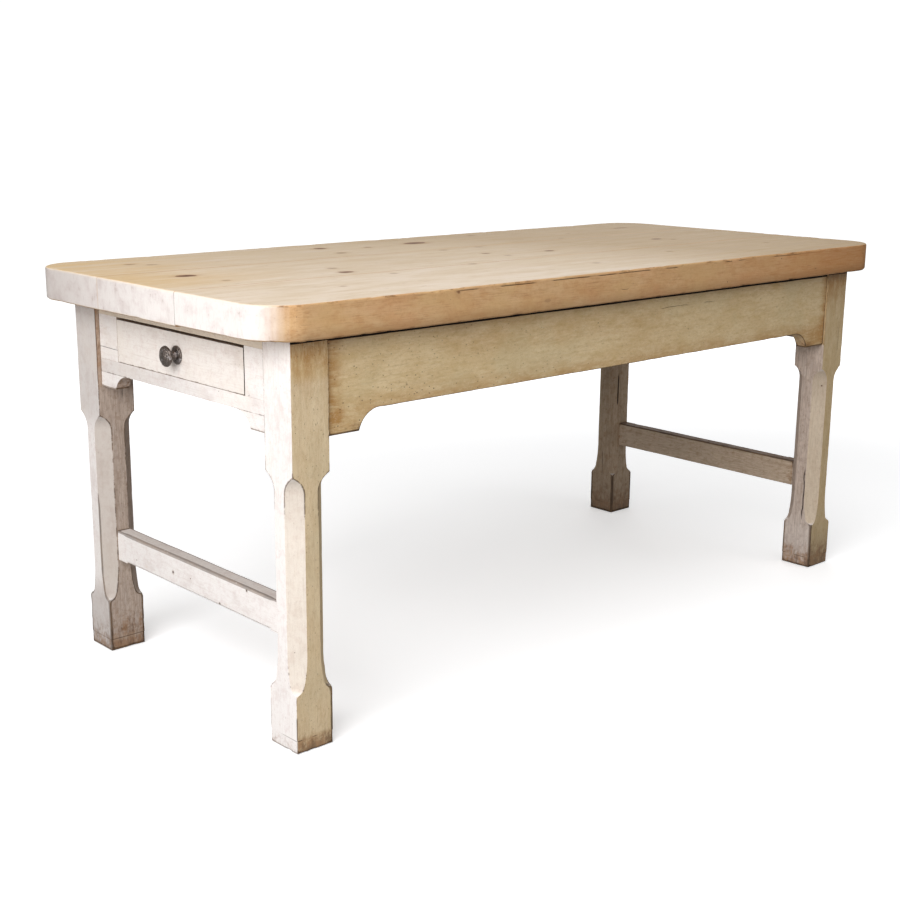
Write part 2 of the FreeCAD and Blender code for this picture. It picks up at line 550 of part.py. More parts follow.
# ---------------------------------------------------------------------------
# running gear of the drawers: cross rails, runners with a guide lip, kickers, stops
# ---------------------------------------------------------------------------
RUN_IN = "(%s - Sizes.end_thick)" % END_OUT            # inner face of the drawer rails
stops = []
for end, sx in ENDS:
    body = new_body("cross_rail_" + end)
    sketch = new_sketch(body, "XY_Plane", "section")
    reach = "(%s + Sizes.cross_rail_housing)" % APRON_IN
    outline(sketch, [("-Sizes.cross_rail_thick / 2", "-" + reach), ("Sizes.cross_rail_thick / 2", "-" + reach),
                     ("Sizes.cross_rail_thick / 2", reach), ("-Sizes.cross_rail_thick / 2", reach)])
    pad(body, sketch, "Sizes.opening_top - Sizes.runner_low")
    x0 = "-Sizes.cross_rail_thick / 2" if sx < 0 else "(Sizes.cross_rail_thick / 2 - Sizes.stub)"
    for name, y0 in (("front", "-(%s + Sizes.runner_wide)" % RUNNER_Y), ("rear", RUNNER_Y)):
        sunk_box(body, "runner_mortise_" + name,
                 ("Sizes.stub", "Sizes.runner_wide - 12", "Sizes.rail_top - Sizes.runner_low - 6"),
                 (x0, "(%s) + 6" % y0, "3"))
    place(body, "%d * (%s - Sizes.cross_rail_thick / 2)" % (sx, CROSS_X), "0", "Sizes.runner_low")

    length = "(%s - %s)" % (RUN_IN, CROSS_X)
    for side, sy in SIDES:
        # the lip stands beside the drawer, the tread lies under its side
        body = new_body("runner_%s_%s" % (side, end))
        sketch = new_sketch(body, "YZ_Plane", "section")
        wide = "Sizes.runner_wide"
        tread = "(Sizes.runner_lap + Sizes.guide_gap - 1)"
        thick = "(Sizes.runner_top - Sizes.runner_low)"
        tall = "(Sizes.runner_top - Sizes.runner_low + Sizes.guide_high)"
        if sy > 0:
            shape = [("0", "0"), (wide, "0"), (wide, tall), (tread, tall), (tread, thick), ("0", thick)]
        else:
            shape = [("0", "0"), ("0", thick), ("-" + tread, thick), ("-" + tread, tall), ("-" + wide, tall),
                     ("-" + wide, "0")]
        outline(sketch, shape)
        pad(body, sketch, length)
        y0 = "6" if sy > 0 else "-(Sizes.runner_wide - 6)"
        for name, x0 in (("stub_low", "-Sizes.stub"), ("stub_high", length)):
            stuck_box(body, name, ("Sizes.stub", "Sizes.runner_wide - 12",
                                   "Sizes.rail_top - Sizes.runner_low - 6"), (x0, y0, "3"))
        place(body, "-" + RUN_IN if sx < 0 else CROSS_X, "%d * %s" % (sy, RUNNER_Y), "Sizes.runner_low")

        # stop block, glued on the tread behind the drawer
        room = "(Sizes.cross_rail_face - Sizes.drawer_depth - 0.4)"
        stops.append(block("stop_%s_%s" % (side, end),
                           (room, "Sizes.stop_width", "Sizes.stop_height"),
                           ("-(%s + %s)" % (CROSS_X, room) if sx < 0 else CROSS_X,
                            "(%s + 1)" % RUNNER_Y if sy > 0 else "-(%s + 1 + Sizes.stop_width)" % RUNNER_Y,
                            "Sizes.runner_top"), node=False))

    block("kicker_" + end,
          ("%s - %s + Sizes.cross_rail_thick" % (RUN_IN, CROSS_X), "Sizes.kicker_width",
           TOP_UNDER + " - Sizes.opening_top"),
          ("-" + RUN_IN if sx < 0 else "(%s - Sizes.cross_rail_thick)" % CROSS_X,
           "-Sizes.kicker_width / 2", "Sizes.opening_top"))

set_of_stops = doc.addObject("Part::Compound", "drawer_stops")
set_of_stops.Label = "drawer_stops"
set_of_stops.Links = stops
doc.recompute()
NODES.append(set_of_stops)

# ---------------------------------------------------------------------------
# drawers.  Each is drawn for the left end in coordinates that start on the front's
# outer face, and turned half round for the right end.
# ---------------------------------------------------------------------------
TAILS = ((0, "Sizes.tail_low"), (1, "(Sizes.tail_low + Sizes.tail_pitch)"))
GAP = "(Sizes.front_thick - Sizes.lap)"
HALF_FRONT = "Sizes.front_width / 2"


def turn_for(obj, end, z="0"):
    """Puts a drawer piece at its end of the table."""
    place(obj, "-" + END_OUT if end == "left" else END_OUT, "0", z)
    if end == "right":
        obj.Placement = FreeCAD.Placement(obj.Placement.Base, FreeCAD.Rotation(V(0, 0, 1), 180))


def dovetail_lines(x_root, x_tip, low):
    """Corners of one tail in the XZ plane, wider at the tip, anticlockwise from the
    lower root."""
    flare = "((Sizes.tail_wide - Sizes.tail_narrow) / 2)"
    return [(x_root, "(%s + %s)" % (low, flare)), (x_root, "(%s + %s + Sizes.tail_narrow)" % (low, flare)),
            (x_tip, "(%s + Sizes.tail_wide)" % low), (x_tip, low)]


def quad(sketch, points, tag):
    """One closed four-sided loop, so that a sketch can hold several."""
    xy = [V(num(a), num(b), 0) for a, b in points]
    edges = [sketch.addGeometry(Part.LineSegment(xy[i], xy[(i + 1) % 4]), False) for i in range(4)]
    for i in range(4):
        sketch.addConstraint(Sketcher.Constraint("Coincident", edges[i], 2, edges[(i + 1) % 4], 1))
    for i in range(4):
        fix_point(sketch, edges[i], 1, points[i][0], points[i][1], "%s%d" % (tag, i))


for end, sx in ENDS:
    stem = "drawer_%s_" % end

    # front: sockets for the tails at both ends, groove for the bottom, hole for the stud
    body = new_body(stem + "front")
    sketch = new_sketch(body, "YZ_Plane", "face")
    outline(sketch, [("-" + HALF_FRONT, "0"), (HALF_FRONT, "0"), (HALF_FRONT, "Sizes.front_height"),
                     ("-" + HALF_FRONT, "Sizes.front_height")])
    pad(body, sketch, "Sizes.front_thick")
    for name, y in (("front", "-(%s)" % HALF_FRONT), ("rear", "(%s - Sizes.side_thick)" % HALF_FRONT)):
        cut = new_sketch(body, "XZ_Plane", "sockets_" + name)
        # the XZ plane's normal is -Y, so the sketch sits on the low face and cuts towards +Y
        bind(cut, "AttachmentOffset.Base.z", "-(%s)" % y)
        for k, low in TAILS:
            quad(cut, dovetail_lines("Sizes.front_thick", GAP, low), "q%d_" % k)
        pocket(body, cut, "Sizes.side_thick", name="sockets_" + name)
    sunk_box(body, "groove", ("Sizes.groove_deep", "Sizes.front_width - 2 * Sizes.side_thick", "Sizes.bottom_thick"),
             ("Sizes.front_thick - Sizes.groove_deep", "-%s + Sizes.side_thick" % HALF_FRONT,
              "Sizes.bottom_low - Sizes.front_low"))
    hole = new_sketch(body, "YZ_Plane", "stud_mark")
    circles(hole, [("0", "Sizes.front_height / 2")], "Sizes.stud_dia")
    pocket(body, hole, "Sizes.front_thick", reverse=True, name="stud_hole")
    turn_for(body, end, "Sizes.front_low")

    # sides: two tails, a groove on the inner face
    for side, sy in SIDES:
        body = new_body(stem + "side_" + side)
        sketch = new_sketch(body, "XZ_Plane", "face")
        outline(sketch, [("Sizes.front_thick", "0"), ("Sizes.drawer_depth", "0"),
                         ("Sizes.drawer_depth", "Sizes.front_height"), ("Sizes.front_thick", "Sizes.front_height")])
        pad(body, sketch, "Sizes.side_thick", symmetric=True)
        tails = new_sketch(body, "XZ_Plane", "tails")
        for k, low in TAILS:
            quad(tails, dovetail_lines("Sizes.front_thick", GAP, low), "q%d_" % k)
        pad(body, tails, "Sizes.side_thick", symmetric=True, name="tails_pad")
        # the groove is on the inner face; the right drawer's sides are turned half round
        facing = sy if end == "left" else -sy
        y0 = "(Sizes.side_thick / 2 - Sizes.groove_deep)" if facing < 0 else "-Sizes.side_thick / 2"
        sunk_box(body, "groove", ("Sizes.drawer_depth - Sizes.front_thick", "Sizes.groove_deep", "Sizes.bottom_thick"),
                 ("Sizes.front_thick", y0, "Sizes.bottom_low - Sizes.front_low"))
        # the piece named front stands on the table's front side at both ends
        shift = "%d * (%s - Sizes.side_thick / 2)" % (sy, HALF_FRONT)
        place(body, "-" + END_OUT if end == "left" else END_OUT, shift, "Sizes.front_low")
        if end == "right":
            body.Placement = FreeCAD.Placement(body.Placement.Base, FreeCAD.Rotation(V(0, 0, 1), 180))

    # back, between the sides, over the bottom
    body = new_body(stem + "back")
    sketch = new_sketch(body, "YZ_Plane", "face")
    half_back = "(%s - Sizes.side_thick)" % HALF_FRONT
    outline(sketch, [("-" + half_back, "Sizes.back_low - Sizes.front_low"), (half_back, "Sizes.back_low - Sizes.front_low"),
                     (half_back, "Sizes.front_height"), ("-" + half_back, "Sizes.front_height")])
    pad(body, sketch, "Sizes.back_thick")
    bind(sketch, "AttachmentOffset.Base.z", "Sizes.drawer_depth - Sizes.back_thick")
    turn_for(body, end, "Sizes.front_low")

    # bottom board, in the grooves of the front and the sides, under the back
    body = new_body(stem + "bottom")
    sketch = new_sketch(body, "XY_Plane", "outline")
    half_bottom = "(%s - Sizes.side_thick + Sizes.groove_deep)" % HALF_FRONT
    half_body = "(%s - Sizes.side_thick)" % HALF_FRONT
    outline(sketch, [("Sizes.front_thick - Sizes.groove_deep", "-" + half_body),
                     ("Sizes.front_thick", "-" + half_body), ("Sizes.front_thick", "-" + half_bottom),
                     ("Sizes.drawer_depth", "-" + half_bottom), ("Sizes.drawer_depth", half_bottom),
                     ("Sizes.front_thick", half_bottom), ("Sizes.front_thick", half_body),
                     ("Sizes.front_thick - Sizes.groove_deep", half_body)])
    pad(body, sketch, "Sizes.bottom_thick")
    turn_for(body, end, "Sizes.bottom_low")

    # knob: neck and domed head turned in one piece, on a stud that runs through the front
    body = new_body(stem + "knob")
    sketch = new_sketch(body, "XZ_Plane", "half_section")
    reach = "(-Sizes.knob_reach)"
    outline(sketch, [("Sizes.front_thick + Sizes.nut_thick + 5", "0"),
                     ("Sizes.front_thick + Sizes.nut_thick + 5", "Sizes.stud_dia / 2"),
                     ("(-Sizes.rosette_thick)", "Sizes.stud_dia / 2"),
                     ("(-Sizes.rosette_thick)", "9"),
                     ("(-Sizes.rosette_thick - 4)", "7"),
                     ("(-Sizes.knob_reach + 14)", "8.5"),
                     ("(-Sizes.knob_reach + 11)", "(Sizes.knob_dia / 2 - 2)"),
                     ("(-Sizes.knob_reach + 8.5)", "Sizes.knob_dia / 2"),
                     ("(-Sizes.knob_reach + 5.5)", "(Sizes.knob_dia / 2 - 0.8)"),
                     ("(-Sizes.knob_reach + 4.5)", "(Sizes.knob_dia / 2 - 3.5)"),
                     (reach, "1.2"), (reach, "0")],
            {9: ("30", 1)})
    turned = body.newObject("PartDesign::Revolution", "turned")
    turned.Profile = sketch
    turned.ReferenceAxis = (sketch, ["H_Axis"])
    turned.Angle = 360
    doc.recompute()
    turn_for(body, end, "Sizes.front_low + Sizes.front_height / 2")

    # rosette: domed plate between the knob and the front
    body = new_body(stem + "rosette")
    sketch = new_sketch(body, "XZ_Plane", "half_section")
    outline(sketch, [("0", "Sizes.stud_dia / 2"), ("0", "Sizes.rosette_dia / 2"),
                     ("-1.6", "Sizes.rosette_dia / 2"), ("-3.2", "(Sizes.rosette_dia / 2 - 2.6)"),
                     ("(-Sizes.rosette_thick)", "9.5"), ("(-Sizes.rosette_thick)", "Sizes.stud_dia / 2")])
    turned = body.newObject("PartDesign::Revolution", "turned")
    turned.Profile = sketch
    turned.ReferenceAxis = (sketch, ["H_Axis"])
    turned.Angle = 360
    doc.recompute()
    turn_for(body, end, "Sizes.front_low + Sizes.front_height / 2")

    # nut and washer behind the front
    body = new_body(stem + "knob_nut")
    plate = new_sketch(body, "YZ_Plane", "washer")
    for dia, tag in (("Sizes.washer_dia", "outer"), ("Sizes.stud_dia", "inner")):
        geo = plate.addGeometry(Part.Circle(V(0, 0, 0), V(0, 0, 1), num(dia) / 2.0), False)
        plate.addConstraint(Sketcher.Constraint("Coincident", geo, 3, -1, 1))
        index = plate.addConstraint(Sketcher.Constraint("Diameter", geo, num(dia)))
        plate.renameConstraint(index, tag)
        bind(plate, "Constraints." + tag, dia)
    bind(plate, "AttachmentOffset.Base.z", "Sizes.front_thick")
    pad(body, plate, "1", name="washer_pad")
    hexagon = new_sketch(body, "YZ_Plane", "nut")
    corners = []
    for k in range(6):
        angle = 60 * k
        corners.append(("Sizes.nut_size / sqrt(3) * cos(%d deg)" % angle,
                        "Sizes.nut_size / sqrt(3) * sin(%d deg)" % angle))
    outline(hexagon, corners)
    geo = hexagon.addGeometry(Part.Circle(V(0, 0, 0), V(0, 0, 1), D["stud_dia"] / 2.0), False)
    hexagon.addConstraint(Sketcher.Constraint("Coincident", geo, 3, -1, 1))
    index = hexagon.addConstraint(Sketcher.Constraint("Diameter", geo, D["stud_dia"]))
    hexagon.renameConstraint(index, "bore")
    bind(hexagon, "Constraints.bore", "Sizes.stud_dia")
    bind(hexagon, "AttachmentOffset.Base.z", "Sizes.front_thick + 1")
    pad(body, hexagon, "Sizes.nut_thick", name="nut_pad")
    turn_for(body, end, "Sizes.front_low + Sizes.front_height / 2")

# ---------------------------------------------------------------------------
# groups of identical small pieces, each node a set of separate solids
# ---------------------------------------------------------------------------
doc.recompute()


def group(label, shapes):
    node = doc.addObject("Part::Feature", label)
    node.Label = label
    node.Shape = Part.makeCompound(shapes)
    node.Placement = FreeCAD.Placement()
    NODES.append(node)
    return node


def moved(shape, x, y, z, turn=0.0):
    copy = shape.copy()
    copy.Placement = FreeCAD.Placement(V(x, y, z), FreeCAD.Rotation(V(0, 0, 1), turn)).multiply(copy.Placement)
    return copy


under = num(TOP_UNDER)

# loose dowels across the two plank joints, with chamfered ends
rad = D["dowel_dia"] / 2.0
length = D["dowel_length"]
dowel = Part.makeCylinder(rad, length - 2.0, V(0, -length / 2.0 + 1.0, 0), V(0, 1, 0))
shapes = []
for y in (num(JOINT_1), num(JOINT_2)):
    for k in (-2, -1, 0, 1, 2):
        shapes.append(moved(dowel, k * D["dowel_pitch"], y, under + D["top_thick"] / 2.0))
group("top_dowels", shapes)

# buttons: a block under the top with a tongue in the apron's slot, bored for its screw
b_len, b_wide, b_thick = D["button_length"], D["button_width"], D["button_thick"]
button = Part.makeBox(b_wide, b_len, b_thick, V(-b_wide / 2.0, 0, -b_thick))
tongue = Part.makeBox(b_wide, D["button_tongue"], D["button_tongue_thick"], V(-b_wide / 2.0, -D["button_tongue"], -b_thick))
button = button.fuse(tongue).removeSplitter()
shank = D["screw_dia"] / 2.0
head = D["screw_head"] / 2.0
bore = Part.makeCylinder(shank, b_thick, V(0, b_len / 2.0, -b_thick))
sink = Part.makeCone(head, shank, head - shank, V(0, b_len / 2.0, -b_thick))
button = button.cut(bore).cut(sink)
button_front, button_rear = [], []
inner_y = num(APRON_IN)
for x in BUTTON_X:
    button_front.append(moved(button, x, -inner_y, under))
    button_rear.append(moved(button, x, inner_y, under, 180.0))
group("top_buttons", button_front + button_rear)

# countersunk screws, point up, with a slot across the head
screw = Part.makeCylinder(shank, D["screw_length"] - 5.0, V(0, 0, 0))
screw = screw.fuse(Part.makeCone(shank, 0.4, 4.6, V(0, 0, D["screw_length"] - 5.0)))
screw = screw.fuse(Part.makeCone(head, shank, head - shank, V(0, 0, 0))).removeSplitter()
screw = screw.cut(Part.makeBox(2 * head, 1.0, 1.0, V(-head, -0.5, 0)))
screws = []
for x in BUTTON_X:
    screws.append(moved(screw, x, -(inner_y - b_len / 2.0), under - b_thick))
    screws.append(moved(screw, x, inner_y - b_len / 2.0, under - b_thick))
group("button_screws", screws)

# drawer nails: two through each side into the back, three up through the bottom
nail_len, nail_rad = 30.0, 1.1
nail = Part.makeCylinder(nail_rad, nail_len - 1.2, V(0, 0, 1.2)).fuse(Part.makeCylinder(2.4, 1.2)).removeSplitter()
half_front = D["front_width"] / 2.0
end_out = num(END_OUT)
for end, sx in ENDS:
    x_back = sx * (end_out - D["drawer_depth"] + D["back_thick"] / 2.0)
    nails = []
    for sy in (-1, 1):
        for z in (636.0, 668.0):
            copy = nail.copy()
            copy.Placement = FreeCAD.Placement(V(x_back, sy * half_front, z),
                                               FreeCAD.Rotation(V(0, 0, 1), V(0, -sy, 0)))
            nails.append(copy)
    for y in (-120.0, 0.0, 120.0):
        copy = nail.copy()
        copy.Placement = FreeCAD.Placement(V(x_back, y, D["bottom_low"]), FreeCAD.Rotation())
        nails.append(copy)
    group("drawer_%s_nails" % end, nails)

doc.recompute()

# ---------------------------------------------------------------------------
# check and write
# ---------------------------------------------------------------------------
failed = [o.Label for o in doc.Objects if any(word in ("Invalid", "Error") for word in o.State)]
if failed:
    raise RuntimeError("objects that did not compute: %s" % failed)
labels = [node.Label for node in NODES]
if len(set(labels)) != len(labels):
    raise RuntimeError("two sub-parts share a label")
for node in NODES:
    if len(node.Label) >= 60:
        raise RuntimeError("label too long: " + node.Label)
    if node.Shape.isNull() or not node.Shape.isValid() or not node.Shape.Solids:
        raise RuntimeError("bad shape: " + node.Label)
for node in NODES:
    node.Shape.exportStep(os.path.join("parts", node.Label + ".step"))
print("sub-parts written: %d" % len(NODES))
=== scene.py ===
import math

import bmesh
import bpy
import numpy as np
from mathutils import Matrix, Vector
from mathutils.bvhtree import BVHTree
from mathutils.kdtree import KDTree
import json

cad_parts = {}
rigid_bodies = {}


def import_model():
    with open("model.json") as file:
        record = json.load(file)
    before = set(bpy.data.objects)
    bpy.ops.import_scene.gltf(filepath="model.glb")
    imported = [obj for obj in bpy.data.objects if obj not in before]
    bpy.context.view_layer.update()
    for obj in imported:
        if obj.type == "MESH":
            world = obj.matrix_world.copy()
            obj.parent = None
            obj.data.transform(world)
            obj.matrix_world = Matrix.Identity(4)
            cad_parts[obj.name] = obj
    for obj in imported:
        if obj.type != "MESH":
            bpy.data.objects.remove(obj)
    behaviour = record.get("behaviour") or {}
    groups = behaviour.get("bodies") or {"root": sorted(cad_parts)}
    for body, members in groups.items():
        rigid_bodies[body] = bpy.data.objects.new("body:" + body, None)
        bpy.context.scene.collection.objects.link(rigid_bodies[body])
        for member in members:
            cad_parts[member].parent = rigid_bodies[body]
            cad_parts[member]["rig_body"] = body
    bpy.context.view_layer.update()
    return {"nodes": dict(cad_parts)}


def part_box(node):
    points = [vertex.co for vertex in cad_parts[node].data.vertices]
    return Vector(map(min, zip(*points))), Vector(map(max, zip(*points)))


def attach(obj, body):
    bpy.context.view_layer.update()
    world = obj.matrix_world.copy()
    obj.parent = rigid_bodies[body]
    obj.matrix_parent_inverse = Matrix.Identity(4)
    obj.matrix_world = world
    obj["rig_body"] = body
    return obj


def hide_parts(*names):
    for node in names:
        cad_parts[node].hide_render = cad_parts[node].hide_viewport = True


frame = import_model()

# Metres, Z up, X along the table. The end with the visible drawer is -X, the long visible side -Y.
NODES = frame["nodes"]
BODY = {n: o["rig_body"] for n, o in NODES.items()}
SLOT = {n: o.material_slots[0].material.name.split(".")[0] for n, o in NODES.items()}
HALF_TOP = (0.869, 0.389)


# ------------------------------------------------------------------ number helpers

def hashed(ix, iy, iz, seed):
    m = np.uint64(0xFFFFFFFF)
    h = (ix.astype(np.int64) * 374761393 + iy.astype(np.int64) * 668265263
         + iz.astype(np.int64) * 1442695041 + seed * 1274126177).astype(np.uint64) & m
    h = ((h ^ (h >> np.uint64(13))) * np.uint64(1274126177)) & m
    h = ((h ^ (h >> np.uint64(15))) * np.uint64(2246822519)) & m
    return (h ^ (h >> np.uint64(16))).astype(np.float64) / 4294967295.0


def vnoise(p, size, seed=1):
    """Smooth value noise, -1 to 1. size is the distance between its bumps: one number or three, in metres."""
    q = np.asarray(p, float) / np.asarray(size, float) + 311.7
    i = np.floor(q)
    f = q - i
    f = f * f * f * (f * (f * 6 - 15) + 10)
    out = 0.0
    for a in (0, 1):
        for b in (0, 1):
            for c in (0, 1):
                w = ((f[:, 0] if a else 1 - f[:, 0]) * (f[:, 1] if b else 1 - f[:, 1])
                     * (f[:, 2] if c else 1 - f[:, 2]))
                out = out + w * hashed(i[:, 0] + a, i[:, 1] + b, i[:, 2] + c, seed)
    return out * 2 - 1


def step(x, a, b):
    t = np.clip((x - a) / (b - a), 0, 1)
    return t * t * (3 - 2 * t)


# ------------------------------------------------------------------ meshes

def clean_bmesh(node):
    bm = bmesh.new()
    bm.from_mesh(NODES[node].data)
    bmesh.ops.remove_doubles(bm, verts=bm.verts, dist=1e-6)
    bmesh.ops.dissolve_limit(bm, angle_limit=math.radians(0.45), verts=bm.verts, edges=bm.edges)
    return bm


def sharp_points(bm, least=25.0, gap=0.002):
    """Points along the convex arrises, for the distance to the nearest one."""
    pts = []
    for e in bm.edges:
        if len(e.link_faces) == 2 and e.is_convex and math.degrees(e.calc_face_angle(0)) > least:
            a, b = e.verts[0].co, e.verts[1].co
            n = max(1, int((b - a).length / gap))
            pts += [a.lerp(b, k / n) for k in range(n + 1)]
    return pts


def cut(bm, axis, at):
    normal = [0, 0, 0]
    normal[axis] = 1
    point = [0, 0, 0]
    point[axis] = at
    bmesh.ops.bisect_plane(bm, geom=bm.verts[:] + bm.edges[:] + bm.faces[:], dist=2e-6,
                           plane_co=point, plane_no=normal)


def cuts_for(lo, hi, gap, near):
    """Cutting places across one axis: rows near both ends, and even ones between."""
    places = set()
    for d in near:
        if hi - lo > 2.2 * d:
            places.add(round(lo + d, 6))
            places.add(round(hi - d, 6))
    inner = max(near) if near else 0
    a, b = lo + inner, hi - inner
    n = int((b - a) / gap)
    for k in range(1, n):
        places.add(round(a + (b - a) * k / n, 6))
    return sorted(places)


def bevel_sharp(bm, width, segments, least=25.0, only=None):
    edges = [e for e in bm.edges if len(e.link_faces) == 2 and e.is_convex
             and math.degrees(e.calc_face_angle(0)) > least and (only is None or only(e))]
    if edges:
        bmesh.ops.bevel(bm, geom=edges, offset=width, offset_type="OFFSET", segments=segments,
                        profile=0.5, affect="EDGES", clamp_overlap=True, loop_slide=True)


def field(p):
    """One soft unevenness for the whole object, so that pieces that touch stay in touch."""
    fade = step(p[:, 2], 0.002, 0.03)
    d = np.stack([vnoise(p, 0.12, 11 + k) * 0.00030 + vnoise(p, 0.035, 21 + k) * 0.00012 for k in range(3)], 1)
    return d * fade[:, None]


ALL_TREE = None


def world_tree():
    verts, faces, base = [], [], 0
    for n, o in NODES.items():
        co = np.zeros(len(o.data.vertices) * 3, np.float32)
        o.data.vertices.foreach_get("co", co)
        verts += [tuple(v) for v in co.reshape(-1, 3).tolist()]
        faces += [tuple(base + i for i in f.vertices) for f in o.data.polygons]
        base += len(o.data.vertices)
    verts += [(-9, -9, 0), (9, -9, 0), (9, 9, 0), (-9, 9, 0)]
    faces.append((base, base + 1, base + 2, base + 3))
    return BVHTree.FromPolygons(verts, faces)


def ray_set(count=14):
    out, g = [], math.pi * (3 - math.sqrt(5))
    for k in range(count):
        r = math.sqrt((k + 0.5) / count)
        out.append((r * math.cos(k * g), r * math.sin(k * g), math.sqrt(max(0.0, 1 - r * r))))
    return out


RAYS = ray_set()


def shade_of(co, no, reach=0.10, skip=None):
    """How closed in each point is, 0 open to 1 buried."""
    out = np.zeros(len(co))
    cast = ALL_TREE.ray_cast
    for i in range(len(co)):
        if skip is not None and skip[i]:
            continue
        n = Vector(no[i])
        t = n.orthogonal().normalized()
        b = n.cross(t)
        at = Vector(co[i]) + n * 0.0012
        total = 0.0
        for x, y, z in RAYS:
            hit = cast(at, t * x + b * y + n * z, reach)
            if hit[3] is not None:
                total += 1 - (hit[3] / reach) ** 0.7
        out[i] = total / len(RAYS)
    return out


def add_attr(me, name, values):
    a = me.attributes.new(name, "FLOAT", "POINT")
    a.data.foreach_set("value", np.asarray(values, np.float32))


def finish_piece(name, node, me, mat, smooth=True):
    ob = bpy.data.objects.new(name, me)
    bpy.context.scene.collection.objects.link(ob)
    me.materials.clear()
    me.materials.append(mat)
    if smooth:
        me.polygons.foreach_set("use_smooth", [True] * len(me.polygons))
        w = ob.modifiers.new("normals", "WEIGHTED_NORMAL")
        w.keep_sharp = True
        w.weight = 60
    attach(ob, BODY[node])
    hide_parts(node)
    return ob


# ------------------------------------------------------------------ node helpers

class Net:
    """Short names for building a material's nodes."""

    def __init__(self, name):
        self.mat = bpy.data.materials.new(name)
        self.mat.use_nodes = True
        self.t = self.mat.node_tree
        self.t.nodes.clear()
        self.out = self.t.nodes.new("ShaderNodeOutputMaterial")
        self.bsdf = self.t.nodes.new("ShaderNodeBsdfPrincipled")
        self.t.links.new(self.bsdf.outputs[0], self.out.inputs[0])
        self.p = self.new("ShaderNodeTexCoord").outputs["Object"]

    def new(self, kind, **values):
        n = self.t.nodes.new(kind)
        for k, v in values.items():
            setattr(n, k, v)
        return n

    def put(self, socket, value):
        if isinstance(value, bpy.types.NodeSocket):
            self.t.links.new(value, socket)
        elif socket.type == "RGBA" and len(value) == 3:
            socket.default_value = (*value, 1)
        else:
            socket.default_value = value

    def attr(self, name):
        n = self.new("ShaderNodeAttribute")
        n.attribute_name = name
        return n.outputs["Fac"]

    def m(self, op, a, b=0.0, c=0.0, clamp=False):
        n = self.new("ShaderNodeMath", operation=op, use_clamp=clamp)
        self.put(n.inputs[0], a)
        self.put(n.inputs[1], b)
        if op in ("MULTIPLY_ADD", "COMPARE"):
            self.put(n.inputs[2], c)
        return n.outputs[0]

    def add(self, a, b):
        return self.m("ADD", a, b)

    def mul(self, a, b):
        return self.m("MULTIPLY", a, b)

    def sub(self, a, b):
        return self.m("SUBTRACT", a, b)

    def step(self, x, a, b, to0=0.0, to1=1.0):
        n = self.new("ShaderNodeMapRange", interpolation_type="SMOOTHSTEP")
        self.put(n.inputs["Value"], x)
        for k, v in (("From Min", a), ("From Max", b), ("To Min", to0), ("To Max", to1)):
            self.put(n.inputs[k], v)
        return n.outputs["Result"]

    def stretch(self, s, shift=(0, 0, 0), source=None):
        n = self.new("ShaderNodeMapping")
        self.put(n.inputs["Vector"], source or self.p)
        n.inputs["Scale"].default_value = s
        n.inputs["Location"].default_value = shift
        return n.outputs[0]

    def noise(self, v, scale, detail=3.0, rough=0.55, distort=0.0):
        n = self.new("ShaderNodeTexNoise")
        self.put(n.inputs["Vector"], v)
        n.inputs["Scale"].default_value = scale
        n.inputs["Detail"].default_value = detail
        n.inputs["Roughness"].default_value = rough
        n.inputs["Distortion"].default_value = distort
        return n.outputs["Fac"]

    def mix(self, f, a, b, blend="MIX"):
        n = self.new("ShaderNodeMix", data_type="RGBA", blend_type=blend)
        self.put(n.inputs[0], f)
        self.put(n.inputs[6], a)
        self.put(n.inputs[7], b)
        return n.outputs[2]

    def cells(self, v, scale, random=1.0):
        n = self.new("ShaderNodeTexVoronoi")
        self.put(n.inputs["Vector"], v)
        n.inputs["Scale"].default_value = scale
        n.inputs["Randomness"].default_value = random
        sep = self.new("ShaderNodeSeparateColor")
        self.t.links.new(n.outputs["Color"], sep.inputs[0])
        return n.outputs["Distance"], sep.outputs[0], sep.outputs[1]

    def bump(self, height, distance, strength=1.0, normal=None):
        n = self.new("ShaderNodeBump")
        n.inputs["Strength"].default_value = strength
        n.inputs["Distance"].default_value = distance
        self.put(n.inputs["Height"], height)
        if normal is not None:
            self.put(n.inputs["Normal"], normal)
        return n.outputs[0]

    def mix_number(self, a, b, low=0.12, high=0.75):
        """A number between low and high that follows the larger of two attributes."""
        return self.m("MULTIPLY_ADD", self.m("MAXIMUM", a, b), high - low, low)

    def set(self, name, value):
        self.put(self.bsdf.inputs[name], value)


def rgb(r, g, b):
    """A colour as seen on a screen, 0 to 255, as Blender's linear numbers."""
    def one(c):
        c /= 255
        return c / 12.92 if c <= 0.04045 else ((c + 0.055) / 1.055) ** 2.4
    return (one(r), one(g), one(b))


AXIS = {"X": 0, "Y": 1, "Z": 2}


def along(axis, ratio):
    s = [1.0, 1.0, 1.0]
    s[AXIS[axis]] = ratio
    return tuple(s)


